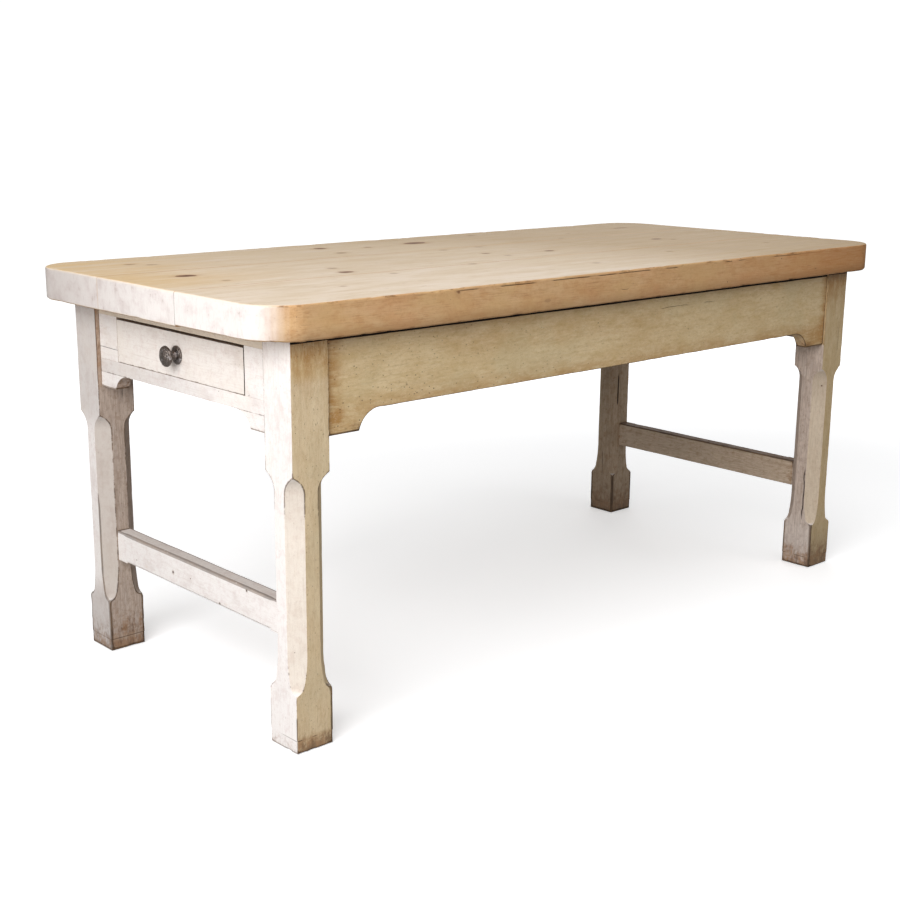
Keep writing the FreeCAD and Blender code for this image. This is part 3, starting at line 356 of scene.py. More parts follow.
def painted(name, axis, shift, spots=()):
    """Old limewashed softwood: chalky white, thin and tan on the long sides, with streaks, worm holes, cracks, dirt and
    a dark glaze left in the arrises, and painted shade: darkening in corners, dimming where the light is weaker, and
    shadow lines under the tabletop and in the drawer gaps.
    """
    k = Net(name)
    edge, shade, tan, bare, joint = (k.attr(a) for a in ("edge", "shade", "tan", "bare", "joint"))
    grime, glaze, orange, dim, crack, worm = (k.attr(a) for a in ("grime", "glaze", "orange", "dim", "crack", "worm"))
    broad = k.noise(k.p, 6.0, 3.0, 0.6)
    cloud = k.noise(k.stretch(along(axis, 0.55), shift), 24.0, 5.0, 0.68)
    smudge = k.noise(k.p, 62.0, 5.0, 0.72)
    smear = k.noise(k.stretch(along(axis, 0.28), shift), 78.0, 5.0, 0.70)
    streak = k.noise(k.stretch(along(axis, 0.10), shift), 360.0, 3.0, 0.62)
    brush = k.noise(k.stretch(along(axis, 0.18), shift), 105.0, 5.0, 0.70)
    combed = k.noise(k.stretch(along(axis, 0.03), shift), 230.0, 2.0, 0.5)
    mottle = k.noise(k.stretch(along(axis, 0.45), shift), 215.0, 4.0, 0.72)
    grit = k.noise(k.p, 520.0, 3.0, 0.75)
    # limewash on the ends of the table: chalk white with faint pinkish-grey smudges
    white = k.mix(k.step(smudge, 0.46, 0.66, 0.0, 0.8), rgb(237, 233, 231), rgb(226, 217, 215))
    white = k.mix(k.step(cloud, 0.50, 0.70, 0.0, 0.75), white, rgb(217, 208, 205))
    white = k.mix(k.step(streak, 0.52, 0.74, 0.0, 0.32), white, rgb(208, 197, 190))
    white = k.mix(k.step(combed, 0.55, 0.70, 0.0, 0.16), white, rgb(200, 188, 178))
    white = k.mix(k.step(broad, 0.52, 0.70, 0.0, 0.35), white, rgb(236, 228, 219))
    white = k.mix(k.step(mottle, 0.56, 0.72, 0.0, 0.35), white, rgb(198, 186, 180))
    # thin tan scumble on the long sides
    khaki = k.mix(k.step(cloud, 0.36, 0.64), rgb(220, 196, 151), rgb(229, 208, 167))
    khaki = k.mix(k.step(smear, 0.46, 0.66, 0.0, 0.55), khaki, rgb(206, 180, 131))
    khaki = k.mix(k.step(streak, 0.50, 0.74, 0.0, 0.35), khaki, rgb(188, 164, 124))
    khaki = k.mix(k.step(combed, 0.54, 0.70, 0.0, 0.18), khaki, rgb(184, 162, 126))
    khaki = k.mix(k.step(broad, 0.48, 0.66, 0.0, 0.40), khaki, rgb(208, 195, 157))
    khaki = k.mix(k.mul(orange, k.step(k.add(brush, k.mul(smudge, 0.5)), 0.55, 0.88, 0.30, 1.0)), khaki, rgb(180, 136, 80))
    khaki = k.mix(k.step(mottle, 0.50, 0.70, 0.0, 0.32), khaki, rgb(170, 138, 96))
    khaki = k.mix(k.step(mottle, 0.46, 0.30, 0.0, 0.26), khaki, rgb(232, 214, 180))
    paint = k.mix(tan, white, khaki)
    # aged wood that shows where the paint is thin: the faces turned inwards
    grey = k.mix(k.step(streak, 0.35, 0.65), rgb(198, 178, 162), rgb(168, 146, 130))
    grey = k.mix(k.step(smudge, 0.48, 0.68, 0.0, 0.7), grey, rgb(152, 128, 108))
    grey = k.mix(k.step(combed, 0.52, 0.68, 0.0, 0.4), grey, rgb(138, 114, 92))
    grey = k.mix(k.step(mottle, 0.52, 0.70, 0.0, 0.5), grey, rgb(128, 102, 80))
    col = k.mix(k.mul(bare, k.step(brush, 0.25, 0.50, 0.75, 1.0)), paint, grey)
    # pores and chalk grit
    col = k.mix(k.step(grit, 0.52, 0.72, 0.0, 0.22), col, k.mix(tan, rgb(190, 178, 171), rgb(148, 122, 88)))
    col = k.mix(k.step(grit, 0.46, 0.30, 0.0, 0.16), col, rgb(248, 243, 234))
    # dirt at the feet and where hands and water leave it; on the stretcher tops, in a band under the tabletop and on
    # the leg in the table's shadow it is painted shade
    wet = k.add(k.mul(smudge, 0.8), k.add(k.mul(brush, 0.3), k.mul(mottle, 0.5)))
    soil_and_shade = k.mul(k.step(grime, 0.0, 0.55), k.step(k.add(wet, k.mul(grime, 0.36)), 0.84, 1.16, 0.10, 1.0))
    col = k.mix(k.mul(soil_and_shade, 0.80), col, k.mix(k.step(smear, 0.42, 0.6), rgb(156, 116, 80), rgb(106, 74, 48)))
    # painted shade from the occlusion: darker where a point is closed in, in corners and between parts
    closed = k.mul(shade, k.add(0.6, k.mul(smudge, 0.6)))
    col = k.mix(k.step(closed, 0.18, 0.85, 0.0, k.mix_number(tan, bare)), col, rgb(112, 88, 66))
    near = k.step(k.add(joint, k.mul(k.sub(smudge, 0.5), 6.0)), 9.0, 0.0, 0.0, 0.35)
    col = k.mix(k.mul(near, k.m("MAXIMUM", tan, bare)), col, k.mix(tan, rgb(196, 176, 156), rgb(166, 122, 72)))
    # rubbed patches where the wood shows
    worn = k.mul(k.step(k.add(brush, k.mul(cloud, 0.35)), 0.82, 0.92), 0.4)
    col = k.mix(worn, col, k.mix(tan, rgb(210, 190, 170), rgb(192, 158, 110)))
    # the dark glaze that stays along arrises and in joints, broken along its length
    there = k.add(k.mul(k.sub(smudge, 0.5), 1.5), k.mul(k.sub(brush, 0.5), 0.9))
    bold = k.m("MAXIMUM", tan, bare)
    width = k.add(edge, k.mul(k.sub(smudge, 0.5), 1.4))
    line = k.mul(k.step(width, 2.1, 1.0), k.step(k.add(there, glaze), 0.36, 0.60))
    line = k.mul(line, k.m("MULTIPLY_ADD", bold, 0.32, 0.68))
    col = k.mix(k.mul(line, 0.90), col, k.mix(k.step(brush, 0.4, 0.6), rgb(110, 84, 56), rgb(64, 48, 34)))
    seam = k.mul(k.step(joint, 1.3, 0.3), k.step(k.add(there, glaze), 0.10, 0.40))
    col = k.mix(k.mul(seam, k.m("MULTIPLY_ADD", bold, 0.40, 0.45)), col, rgb(78, 56, 38))
    # worm holes and specks, thick in some places
    crowd = k.mul(worm, k.step(k.add(smudge, k.mul(cloud, 0.6)), 0.68, 0.92, 0.15, 1.0))
    d1, c1, c2 = k.cells(k.p, 96.0)
    size = k.m("MULTIPLY_ADD", k.mul(c2, c2), 0.14, 0.040)
    hole = k.mul(k.step(k.sub(d1, size), 0.035, 0.0), k.step(k.add(c1, k.mul(crowd, 0.27)), 0.985, 0.995))
    d2, c3, c4 = k.cells(k.stretch(along(axis, 0.65), shift), 265.0)
    small = k.m("MULTIPLY_ADD", c4, 0.16, 0.14)
    speck = k.mul(k.step(k.sub(d2, small), 0.08, 0.0), k.step(k.add(c3, k.mul(crowd, 0.19)), 0.975, 0.995))
    dots = k.m("MAXIMUM", k.mul(hole, 0.85), k.mul(speck, k.add(0.12, k.mul(worm, 0.46))))
    col = k.mix(dots, col, rgb(82, 56, 34))
    # drying cracks, and the painted shadow lines under the tabletop and in the drawer gaps
    dark = k.step(crack, 0.22, 0.75)
    col = k.mix(dark, col, rgb(9, 3, 2))
    # nail holes
    for x, y, z, r in spots:
        n = k.new("ShaderNodeVectorMath", operation="DISTANCE")
        k.put(n.inputs[0], k.p)
        n.inputs[1].default_value = (x, y, z)
        ring = k.add(n.outputs["Value"], k.mul(k.sub(grit, 0.5), r * 0.9))
        col = k.mix(k.step(ring, r * 2.0, r * 1.1, 0.0, 0.35), col, rgb(150, 118, 90))
        col = k.mix(k.step(ring, r, r * 0.6, 0.0, 0.95), col, rgb(44, 32, 24))
    # painted shading: darker where the light is weaker or cut off; glaze lines and cracks stay dark where it dims
    inked = k.m("MAXIMUM", k.mul(line, 0.8), dark)
    col = k.mix(dim, col, k.mix(inked, rgb(112, 96, 84), rgb(44, 34, 26)))
    k.set("Base Color", col)
    k.set("Roughness", k.m("MAXIMUM", k.step(k.add(brush, k.mul(smudge, 0.4)), 0.5, 0.9, 0.62, 0.82), dark))
    k.bsdf.inputs["Specular IOR Level"].default_value = 0.26
    h = k.add(k.mul(streak, 0.25), k.add(k.mul(brush, 0.40), k.add(k.mul(grit, 0.30), k.mul(mottle, 0.30))))
    h = k.sub(h, k.add(k.mul(dots, 1.3), k.mul(dark, 1.6)))
    k.set("Normal", k.bump(h, 0.0009, 0.8))
    return k.mat


def top_wood(name):
    """Scrubbed pine: straight fine grain along X, brown knots that the grain runs round, oiled edges, limewashed ends."""
    k = Net(name)
    edge, shade, knot, warp, side, endg = (k.attr(a) for a in ("edge", "shade", "knot", "warp", "side", "endg"))
    depth, plank, crack, joint, dim, pale = (k.attr(a) for a in ("kdark", "plank", "crack", "joint", "dim", "pale"))
    gold, aged = k.attr("gold"), k.attr("aged")
    # each plank has its own grain, and it is pushed aside round a knot
    shift = k.new("ShaderNodeCombineXYZ")
    k.put(shift.inputs[0], k.mul(plank, 5.3))
    k.put(shift.inputs[1], k.add(warp, k.mul(plank, 2.71)))
    moved = k.new("ShaderNodeVectorMath", operation="ADD")
    k.put(moved.inputs[0], k.p)
    k.put(moved.inputs[1], shift.outputs[0])
    q = moved.outputs[0]
    broad = k.noise(k.stretch((0.35, 1, 1), source=q), 6.0, 3.0, 0.6)
    band = k.noise(k.stretch((0.07, 1, 1), source=q), 34.0, 3.0, 0.6)
    fine = k.noise(k.stretch((0.045, 1, 1), source=q), 460.0, 4.0, 0.65)
    fibre = k.noise(k.stretch((0.07, 1, 1), source=q), 1500.0, 2.0, 0.6)
    cloud = k.noise(k.stretch((0.30, 1, 1)), 26.0, 5.0, 0.68)
    smudge = k.noise(k.stretch((0.5, 1, 1)), 75.0, 4.0, 0.7)
    # the growth rings: long loops, close together in places
    slow = k.noise(k.stretch((0.16, 1, 0.6), source=q), 7.0, 2.0, 0.5)
    sep = k.new("ShaderNodeSeparateXYZ")
    k.put(sep.inputs[0], q)
    turn = k.add(k.mul(sep.outputs[1], 330.0), k.add(k.mul(slow, 62.0), k.mul(sep.outputs[2], 150.0)))
    rings = k.m("MULTIPLY_ADD", k.m("SINE", turn), 0.5, 0.5)
    rings = k.mul(rings, k.step(band, 0.38, 0.66))
    # scrubbed upper face: pinkish and yellow patches, a few darker strands
    face = k.mix(broad, rgb(216, 196, 168), rgb(209, 190, 163))
    face = k.mix(k.step(cloud, 0.46, 0.70, 0.0, 0.7), face, rgb(219, 203, 187))
    face = k.mix(k.step(band, 0.46, 0.68, 0.0, 0.5), face, rgb(206, 181, 146))
    face = k.mix(k.mul(rings, 0.18), face, rgb(190, 162, 126))
    face = k.mix(k.step(fine, 0.50, 0.78, 0.0, 0.48), face, rgb(184, 157, 123))
    face = k.mix(k.step(fibre, 0.58, 0.80, 0.0, 0.32), face, rgb(168, 142, 112))
    # painted light: paler towards the front-left corner
    face = k.mix(k.mul(pale, k.step(cloud, 0.30, 0.62, 0.2, 0.7)), face, rgb(236, 222, 206))
    face = k.mix(k.mul(gold, k.step(k.add(band, k.mul(smudge, 0.4)), 0.50, 0.86, 0.25, 0.8)), face, rgb(214, 182, 132))
    # painted shade: darker and browner towards the right and the back
    face = k.mix(k.mul(aged, k.step(cloud, 0.25, 0.65, 0.42, 0.60)), face, rgb(172, 142, 97))
    fleck = k.noise(k.stretch((0.12, 1, 1), source=q), 210.0, 2.0, 0.5)
    face = k.mix(k.step(fleck, 0.67, 0.76, 0.0, 0.42), face, rgb(154, 118, 86))
    # oiled orange-brown long edges
    long = k.mix(k.step(cloud, 0.35, 0.65), rgb(213, 176, 132), rgb(204, 161, 113))
    long = k.mix(k.step(smudge, 0.45, 0.66, 0.0, 0.50), long, rgb(192, 144, 94))
    long = k.mix(k.mul(rings, 0.22), long, rgb(180, 130, 82))
    long = k.mix(k.step(fine, 0.48, 0.72, 0.0, 0.55), long, rgb(168, 122, 78))
    tone = k.noise(k.stretch((0.5, 1, 1)), 15.0, 3.0, 0.6)
    long = k.mix(k.step(tone, 0.50, 0.66, 0.0, 0.5), long, rgb(208, 172, 122))
    long = k.mix(k.step(tone, 0.46, 0.34, 0.0, 0.3), long, rgb(206, 154, 112))
    crumb = k.noise(k.p, 230.0, 4.0, 0.72)
    long = k.mix(k.step(crumb, 0.52, 0.72, 0.0, 0.26), long, rgb(164, 118, 76))
    long = k.mix(k.step(crumb, 0.46, 0.30, 0.0, 0.22), long, rgb(226, 188, 144))
    long = k.mix(k.step(fleck, 0.70, 0.80, 0.0, 0.35), long, rgb(128, 86, 54))
    # painted shade: darker and more orange towards the right-hand end of each long edge
    long = k.mix(k.mul(aged, k.step(fine, 0.30, 0.62, 0.42, 0.66)), long, rgb(188, 124, 68))
    # limewashed end faces: chalky, with soft grey-lilac clouds and a few dark scratches
    blot = k.noise(k.p, 40.0, 4.0, 0.66)
    saw = k.noise(k.stretch((1, 1, 0.2)), 230.0, 3.0, 0.6)
    end = k.mix(k.step(blot, 0.44, 0.68, 0.0, 0.75), rgb(236, 231, 228), rgb(222, 212, 210))
    end = k.mix(k.step(saw, 0.50, 0.76, 0.0, 0.30), end, rgb(200, 190, 186))
    end = k.mix(k.step(k.noise(k.p, 15.0, 4.0, 0.7), 0.50, 0.68, 0.0, 0.6), end, rgb(212, 202, 199))
    end = k.mix(k.step(crumb, 0.60, 0.74, 0.0, 0.50), end, rgb(176, 162, 156))
    end = k.mix(k.step(k.add(blot, k.mul(saw, 0.5)), 0.90, 0.98, 0.0, 0.30), end, rgb(160, 142, 128))
    col = k.mix(side, face, long)
    col = k.mix(endg, col, end)
    ring = k.add(knot, k.mul(k.sub(fine, 0.5), 0.5))
    halo = k.step(ring, 1.9, 0.8)
    core = k.step(ring, 1.05, 0.80)
    heart = k.step(ring, 0.62, 0.2)
    open_ = k.sub(1.0, endg)
    col = k.mix(k.mul(k.mul(halo, 0.42), k.mul(open_, k.m("MULTIPLY_ADD", depth, 0.6, 0.4))), col, rgb(174, 134, 94))
    col = k.mix(k.mul(k.mul(core, depth), k.mul(open_, 0.88)), col, rgb(118, 80, 56))
    col = k.mix(k.mul(k.mul(heart, depth), k.mul(open_, 0.6)), col, rgb(76, 50, 36))
    # arrises: a painted highlight along the ends, pale; a broken dark line on the long edges
    rim = k.step(k.add(edge, k.mul(k.sub(smudge, 0.5), 4.0)), 2.6, 0.6)
    col = k.mix(k.mul(rim, k.mul(endg, 0.6)), col, rgb(236, 224, 208))
    split = k.mul(rim, k.mul(side, k.step(k.add(smudge, k.mul(cloud, 0.6)), 0.82, 0.98)))
    col = k.mix(k.mul(split, 0.70), col, rgb(110, 78, 48))
    # painted shade from the occlusion, where the top is closed in
    col = k.mix(k.step(shade, 0.25, 0.85, 0.0, 0.85), col, rgb(92, 70, 50))
    col = k.mix(k.mul(k.step(joint, 1.5, 0.4), k.mul(endg, 0.85)), col, rgb(96, 84, 78))
    d, c, c2 = k.cells(k.p, 90.0)
    size = k.m("MULTIPLY_ADD", c2, 0.10, 0.04)
    hole = k.mul(k.step(k.sub(d, size), 0.03, 0.0), k.step(c, 0.93, 0.95))
    col = k.mix(k.mul(hole, k.mul(side, 0.75)), col, rgb(84, 58, 38))
    dark = k.step(crack, 0.22, 0.75)
    col = k.mix(k.mul(dark, 0.92), col, rgb(52, 36, 24))
    # painted shading: the end faces darker towards their left-hand side, the underside, and the long edges low down and
    # at their right-hand ends
    col = k.mix(dim, col, k.mix(side, rgb(140, 128, 122), rgb(98, 68, 42)))
    k.set("Base Color", col)
    k.set("Roughness", k.step(fine, 0.3, 0.7, 0.56, 0.74))
    k.bsdf.inputs["Specular IOR Level"].default_value = 0.28
    h = k.add(k.mul(rings, 0.2), k.add(k.mul(fine, 0.5), k.mul(fibre, 0.25)))
    h = k.sub(h, k.add(k.mul(core, 0.3), k.mul(dark, 1.6)))
    k.set("Normal", k.bump(h, 0.0007, 0.8))
    return k.mat


def bare_wood(name, axis, shift):
    """Unpainted inner softwood, brown with age."""
    k = Net(name)
    fine = k.stretch(along(axis, 0.03), shift)
    rings = k.noise(fine, 170.0, 3.0, 0.6)
    grain = k.noise(k.stretch(along(axis, 0.05), shift), 700.0, 3.0, 0.6)
    cloud = k.noise(k.p, 14.0, 3.0, 0.6)
    smudge = k.noise(k.p, 70.0, 4.0, 0.7)
    col = k.mix(cloud, rgb(196, 164, 124), rgb(180, 146, 104))
    col = k.mix(k.step(rings, 0.42, 0.68), col, rgb(166, 130, 88))
    col = k.mix(k.step(grain, 0.50, 0.78, 0.0, 0.7), col, rgb(130, 98, 64))
    col = k.mix(k.step(smudge, 0.52, 0.72, 0.0, 0.45), col, rgb(134, 106, 76))
    # painted shade from the occlusion, in corners and between parts
    col = k.mix(k.step(k.attr("shade"), 0.2, 0.9, 0.0, 0.6), col, rgb(84, 62, 42))
    col = k.mix(k.step(k.attr("edge"), 2.0, 0.5, 0.0, 0.35), col, rgb(210, 182, 142))
    d, c, _ = k.cells(k.p, 80.0)
    hole = k.mul(k.step(d, 0.12, 0.08), k.step(c, 0.86, 0.88))
    col = k.mix(k.mul(hole, 0.8), col, rgb(60, 42, 28))
    k.set("Base Color", col)
    k.set("Roughness", k.step(grain, 0.3, 0.7, 0.60, 0.78))
    k.bsdf.inputs["Specular IOR Level"].default_value = 0.3
    k.set("Normal", k.bump(k.add(k.mul(rings, 0.5), k.mul(grain, 0.5)), 0.0006, 0.8))
    return k.mat


def iron(name):
    """Old black iron with a brown bloom and a hammered skin."""
    k = Net(name)
    big = k.noise(k.p, 150.0, 2.0, 0.5)
    small = k.noise(k.p, 620.0, 4.0, 0.7)
    rub = k.noise(k.p, 90.0, 3.0, 0.6)
    d, _, _ = k.cells(k.p, 420.0)
    col = k.mix(big, rgb(130, 122, 118), rgb(86, 77, 71))
    col = k.mix(k.step(small, 0.50, 0.70, 0.0, 0.7), col, rgb(98, 80, 68))
    col = k.mix(k.step(rub, 0.50, 0.66, 0.0, 0.75), col, rgb(178, 172, 172))
    k.set("Base Color", col)
    k.bsdf.inputs["Metallic"].default_value = 0.85
    k.set("Roughness", k.step(small, 0.3, 0.7, 0.26, 0.46))
    k.set("Normal", k.bump(k.add(k.mul(d, 0.8), k.mul(small, 0.4)), 0.0014, 0.9))
    return k.mat


def steel(name):
    """Dull screw and nail steel with a little rust."""
    k = Net(name)
    small = k.noise(k.p, 420.0, 3.0, 0.6)
    rust = k.noise(k.p, 120.0, 3.0, 0.6)
    col = k.mix(small, rgb(150, 146, 140), rgb(120, 114, 108))
    col = k.mix(k.step(rust, 0.50, 0.66, 0.0, 0.85), col, rgb(122, 82, 52))
    k.set("Base Color", col)
    k.bsdf.inputs["Metallic"].default_value = 0.85
    k.set("Roughness", k.step(rust, 0.3, 0.7, 0.38, 0.62))
    k.set("Normal", k.bump(small, 0.0003, 0.6))
    return k.mat


# nail and worm holes in the stretchers' and rails' outer faces: x, y, z, radius (m)
HOLES = [(s * 0.7745, s2 * y, z, r) for s, s2 in ((-1, 1), (1, -1))
         for y, z, r in ((0.071, 0.215, 0.0030), (-0.174, 0.243, 0.0024), (-0.086, 0.195, 0.0022), (0.010, 0.218, 0.0012),
                         (0.205, 0.206, 0.0011))]

MATS = {
    ("painted_wood", "X"): painted("limewash_x", "X", (0.0, 0.0, 0.0)),
    ("painted_wood", "Y"): painted("limewash_y", "Y", (0.7, 0.3, 0.1), HOLES),
    ("painted_wood", "Z"): painted("limewash_z", "Z", (0.2, 0.9, 0.5)),
    ("top_wood", "X"): top_wood("scrubbed_top"),
    ("bare_wood", "X"): bare_wood("bare_x", "X", (0.0, 0.0, 0.0)),
    ("bare_wood", "Y"): bare_wood("bare_y", "Y", (0.4, 0.2, 0.0)),
    ("bare_wood", "Z"): bare_wood("bare_z", "Z", (0.1, 0.6, 0.3)),
    ("dark_iron", "X"): iron("black_iron"),
    ("steel", "X"): steel("dull_steel"),
}

# knots in the top face: x, y, half length, half width (mm), darkness
TOP_KNOTS = [
    (-737, 47, 22, 14, 1.0), (-473, -85, 17, 12, 0.9), (-455, -19, 12, 9, 0.35), (-719, -55, 9, 7, 0.35),
    (-722, 273, 14, 10, 0.4), (-691, 243, 12, 9, 0.35), (-241, 301, 16, 13, 0.85), (-263, 199, 14, 11, 0.6),
    (-143, 259, 10, 8, 0.45), (5, 269, 30, 19, 0.95), (-29, 3, 14, 9, 0.6), (-21, -55, 10, 7, 0.3),
    (-51, 111, 12, 8, 0.3), (55, 113, 12, 8, 0.3), (117, -43, 15, 10, 0.9), (529, -1, 17, 11, 0.9),
    (553, -33, 10, 7, 0.35), (700, 259, 26, 9, 0.5), (-419, -157, 10, 7, 0.3), (-191, -129, 11, 7, 0.3),
    (13, -271, 12, 8, 0.3), (360, 150, 9, 7, 0.3), (318, -210, 11, 8, 0.35), (660, -220, 9, 7, 0.3),
    (-610, -250, 8, 6, 0.3), (236, 330, 12, 8, 0.4), (468, 228, 8, 6, 0.3),
]
# knots in the long edges: x, z, half length, half width, darkness; front edge, then rear edge
EDGE_KNOTS = (
    [(-471, 765, 7, 6, 0.9), (611, 731, 6, 4, 0.6), (-250, 735, 12, 4, 0.3)],
    [(-380, 748, 12, 9, 0.8), (90, 738, 10, 7, 0.5), (430, 755, 14, 9, 0.9), (-690, 742, 8, 6, 0.5)],
)


def knot_fields(u, v, knots, seed=0):
    """Distance to the nearest knot in knot radii, its darkness, and how far the grain is pushed aside there. u, v in mm."""
    near = np.full(len(u), 9.0)
    dark = np.zeros(len(u))
    push = np.zeros(len(u))
    p = np.stack([u, v, np.zeros(len(u))], 1) / 1000
    for x, y, a, b, depth in knots:
        dx, dy = (u - x) / a, (v - y) / b
        wob = 1 + 0.22 * vnoise(p, 0.010, int(x * 7 + y + seed) % 997)
        r = np.hypot(dx, dy) * wob
        push += np.sign(dy) * np.exp(-(dx / 2.6) ** 2 - (dy / 2.2) ** 2) * (1 - np.exp(-(dy * 1.6) ** 2)) * b * -0.0009
        hit = r < near
        near = np.where(hit, r, near)
        dark = np.where(hit, depth, dark)
    return near, dark, push


# ------------------------------------------------------------------ wooden pieces

GRAIN = {"leg": "Z", "foot": "Z", "end_stile": "Y", "end_bracket": "Y", "apron": "X", "top_plank": "X", "lower": "Y",
         "upper": "Y", "stretcher": "Y", "cross": "Y", "runner": "X", "kicker": "X", "top_button": "Y"}


def grain_of(n):
    for key, g in GRAIN.items():
        if n.startswith(key):
            return g
    lo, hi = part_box(n)
    d = [hi[i] - lo[i] for i in range(3)]
    return "XYZ"[int(np.argmax(d))]


def piece_settings(n):
    """Bevel width, segments, cutting gaps (x, y, z), rows near the ends, and single extra cuts per axis."""
    extra = ([], [], [])
    if n.startswith("top_plank"):
        return 0.0007, 1, (0.007, 0.007, 0.010), (0.003, 0.007), extra
    if n.startswith("leg_"):
        extra[0].extend((-0.7912, 0.7912, -0.7922, 0.7922))
        extra[2].extend((0.7048, 0.7060, 0.7072, 0.7084))
        return 0.0014, 2, (0.009, 0.009, 0.008), (0.003, 0.007), extra
    if n.startswith("apron"):
        for s in (-1, 1):
            extra[0].extend(s * (0.724 - d) for d in (0.0006, 0.0016, 0.006, 0.014))
        extra[2].extend((0.6990, 0.7010, 0.7022, 0.7034, 0.7046, 0.7058, 0.7070))
        return 0.0012, 2, (0.012, 0.009, 0.008), (0.003, 0.007), extra
    if n.startswith("foot"):
        return 0.0012, 2, (0.006, 0.006, 0.005), (0.003,), extra
    if n.startswith(("lower_", "upper_", "end_stile")):
        for s in (-1, 1):
            extra[1].extend(s * (0.276 - d) for d in (0.0006, 0.0020, 0.008))
            extra[1].extend(s * (0.210 + d) for d in (-0.0004, 0.0012, 0.004))
        return 0.00025, 1, (0.010, 0.010, 0.008), (0.003, 0.007), extra
    if n.startswith("end_"):
        return 0.0004, 1, (0.010, 0.006, 0.006), (0.0006, 0.002, 0.007), extra
    if n.startswith("stretcher"):
        for s in (-1, 1):
            extra[1].extend(s * (0.276 - d) for d in (0.0006, 0.0020, 0.008))
        return 0.0013, 2, (0.008, 0.012, 0.009), (0.003, 0.007), extra
    if n in ("drawer_left_front", "drawer_right_front"):
        extra[2].extend((0.6802, 0.6812, 0.6822))
        extra[1].extend(s * v for s in (-1, 1) for v in (0.2058, 0.2068, 0.2078))
        return 0.0008, 2, (0.010, 0.010, 0.010), (0.003, 0.007), extra
    return 0.0008, 2, (0.03, 0.03, 0.03), (0.003,), extra


def crack(face, sign, across, at, along_, a0, a1, depth=0.0016, width=0.0010, sway=0.0015, breaks=0.0, seed=1):
    return dict(face=face, sign=sign, across=across, at=at, along=along_, a0=a0, a1=a1, depth=depth, width=width,
                sway=sway, breaks=breaks, seed=seed)


# real splits, cut into the pieces as narrow grooves
CRACKS = {
    "leg_front_right": [crack(0, -1, 1, -0.3245, 2, 0.096, 0.262, 0.0034, 0.0022, 0.004, 0.0, 3),
                        crack(1, -1, 0, 0.7830, 2, 0.515, 0.600, 0.0014, 0.0010, 0.001, 0.3, 4)],
    "leg_rear_right": [crack(1, -1, 0, 0.7425, 2, 0.285, 0.395, 0.0034, 0.0022, 0.001, 0.0, 5),
                       crack(0, -1, 1, 0.3140, 2, 0.090, 0.200, 0.0018, 0.0010, 0.002, 0.2, 7),
                       crack(1, 1, 0, 0.7700, 2, 0.150, 0.420, 0.0020, 0.0012, 0.002, 0.2, 8)],
    "leg_rear_left": [crack(0, -1, 1, 0.3080, 2, 0.335, 0.420, 0.0010, 0.0008, 0.0012, 0.3, 10),
                      crack(1, -1, 0, -0.7480, 2, 0.500, 0.570, 0.0014, 0.0010, 0.001, 0.2, 11),
                      crack(1, 1, 0, -0.7620, 2, 0.200, 0.520, 0.0020, 0.0012, 0.003, 0.15, 12)],
    "leg_front_left": [crack(0, 1, 1, -0.3120, 2, 0.200, 0.430, 0.0014, 0.0010, 0.002, 0.2, 13)],
    "top_plank_front": [crack(1, -1, 2, 0.7693, 0, -0.700, 0.720, 0.0024, 0.0008, 0.0005, 0.50, 14),
                        crack(1, -1, 2, 0.7400, 0, -0.350, 0.600, 0.0014, 0.0006, 0.003, 0.80, 15),
                        crack(2, -1, 1, -0.2600, 0, -0.500, 0.300, 0.0014, 0.0008, 0.004, 0.3, 16)],
    "top_plank_rear": [crack(1, 1, 2, 0.7530, 0, -0.500, 0.350, 0.0020, 0.0008, 0.003, 0.4, 17),
                       crack(2, -1, 1, 0.2700, 0, -0.100, 0.600, 0.0014, 0.0008, 0.004, 0.3, 18)],
    "apron_rear": [crack(1, 1, 2, 0.6350, 0, -0.350, 0.250, 0.0014, 0.0008, 0.004, 0.3, 19)],
    "apron_front": [crack(1, -1, 2, 0.6820, 0, 0.100, 0.330, 0.0008, 0.0006, 0.002, 0.6, 20)],
    "stretcher_right": [crack(0, 1, 2, 0.2260, 1, -0.150, 0.120, 0.0014, 0.0008, 0.002, 0.3, 21)],
    "end_stile_rear_left": [crack(0, -1, 2, 0.6240, 1, 0.190, 0.300, 0.0007, 0.0006, 0.001, 0.2, 22)],
    "end_stile_front_right": [crack(0, 1, 2, 0.6310, 1, -0.300, -0.190, 0.0007, 0.0006, 0.001, 0.2, 23)],
}

BOXES = {}


def neighbour_tree(n):
    """The surfaces of the pieces that stand within 15 mm of this one."""
    lo, hi = BOXES[n]
    verts, faces, base = [], [], 0
    for m, (a, b) in BOXES.items():
        if m == n or any(a[i] - 0.015 > hi[i] or b[i] + 0.015 < lo[i] for i in range(3)):
            continue
        if SLOT[m] in ("steel", "dark_iron") or m == "top_dowels":
            continue
        me = NODES[m].data
        co = np.zeros(len(me.vertices) * 3, np.float32)
        me.vertices.foreach_get("co", co)
        verts += [tuple(v) for v in co.reshape(-1, 3).tolist()]
        faces += [tuple(base + i for i in f.vertices) for f in me.polygons]
        base += len(me.vertices)
    return BVHTree.FromPolygons(verts, faces) if faces else None


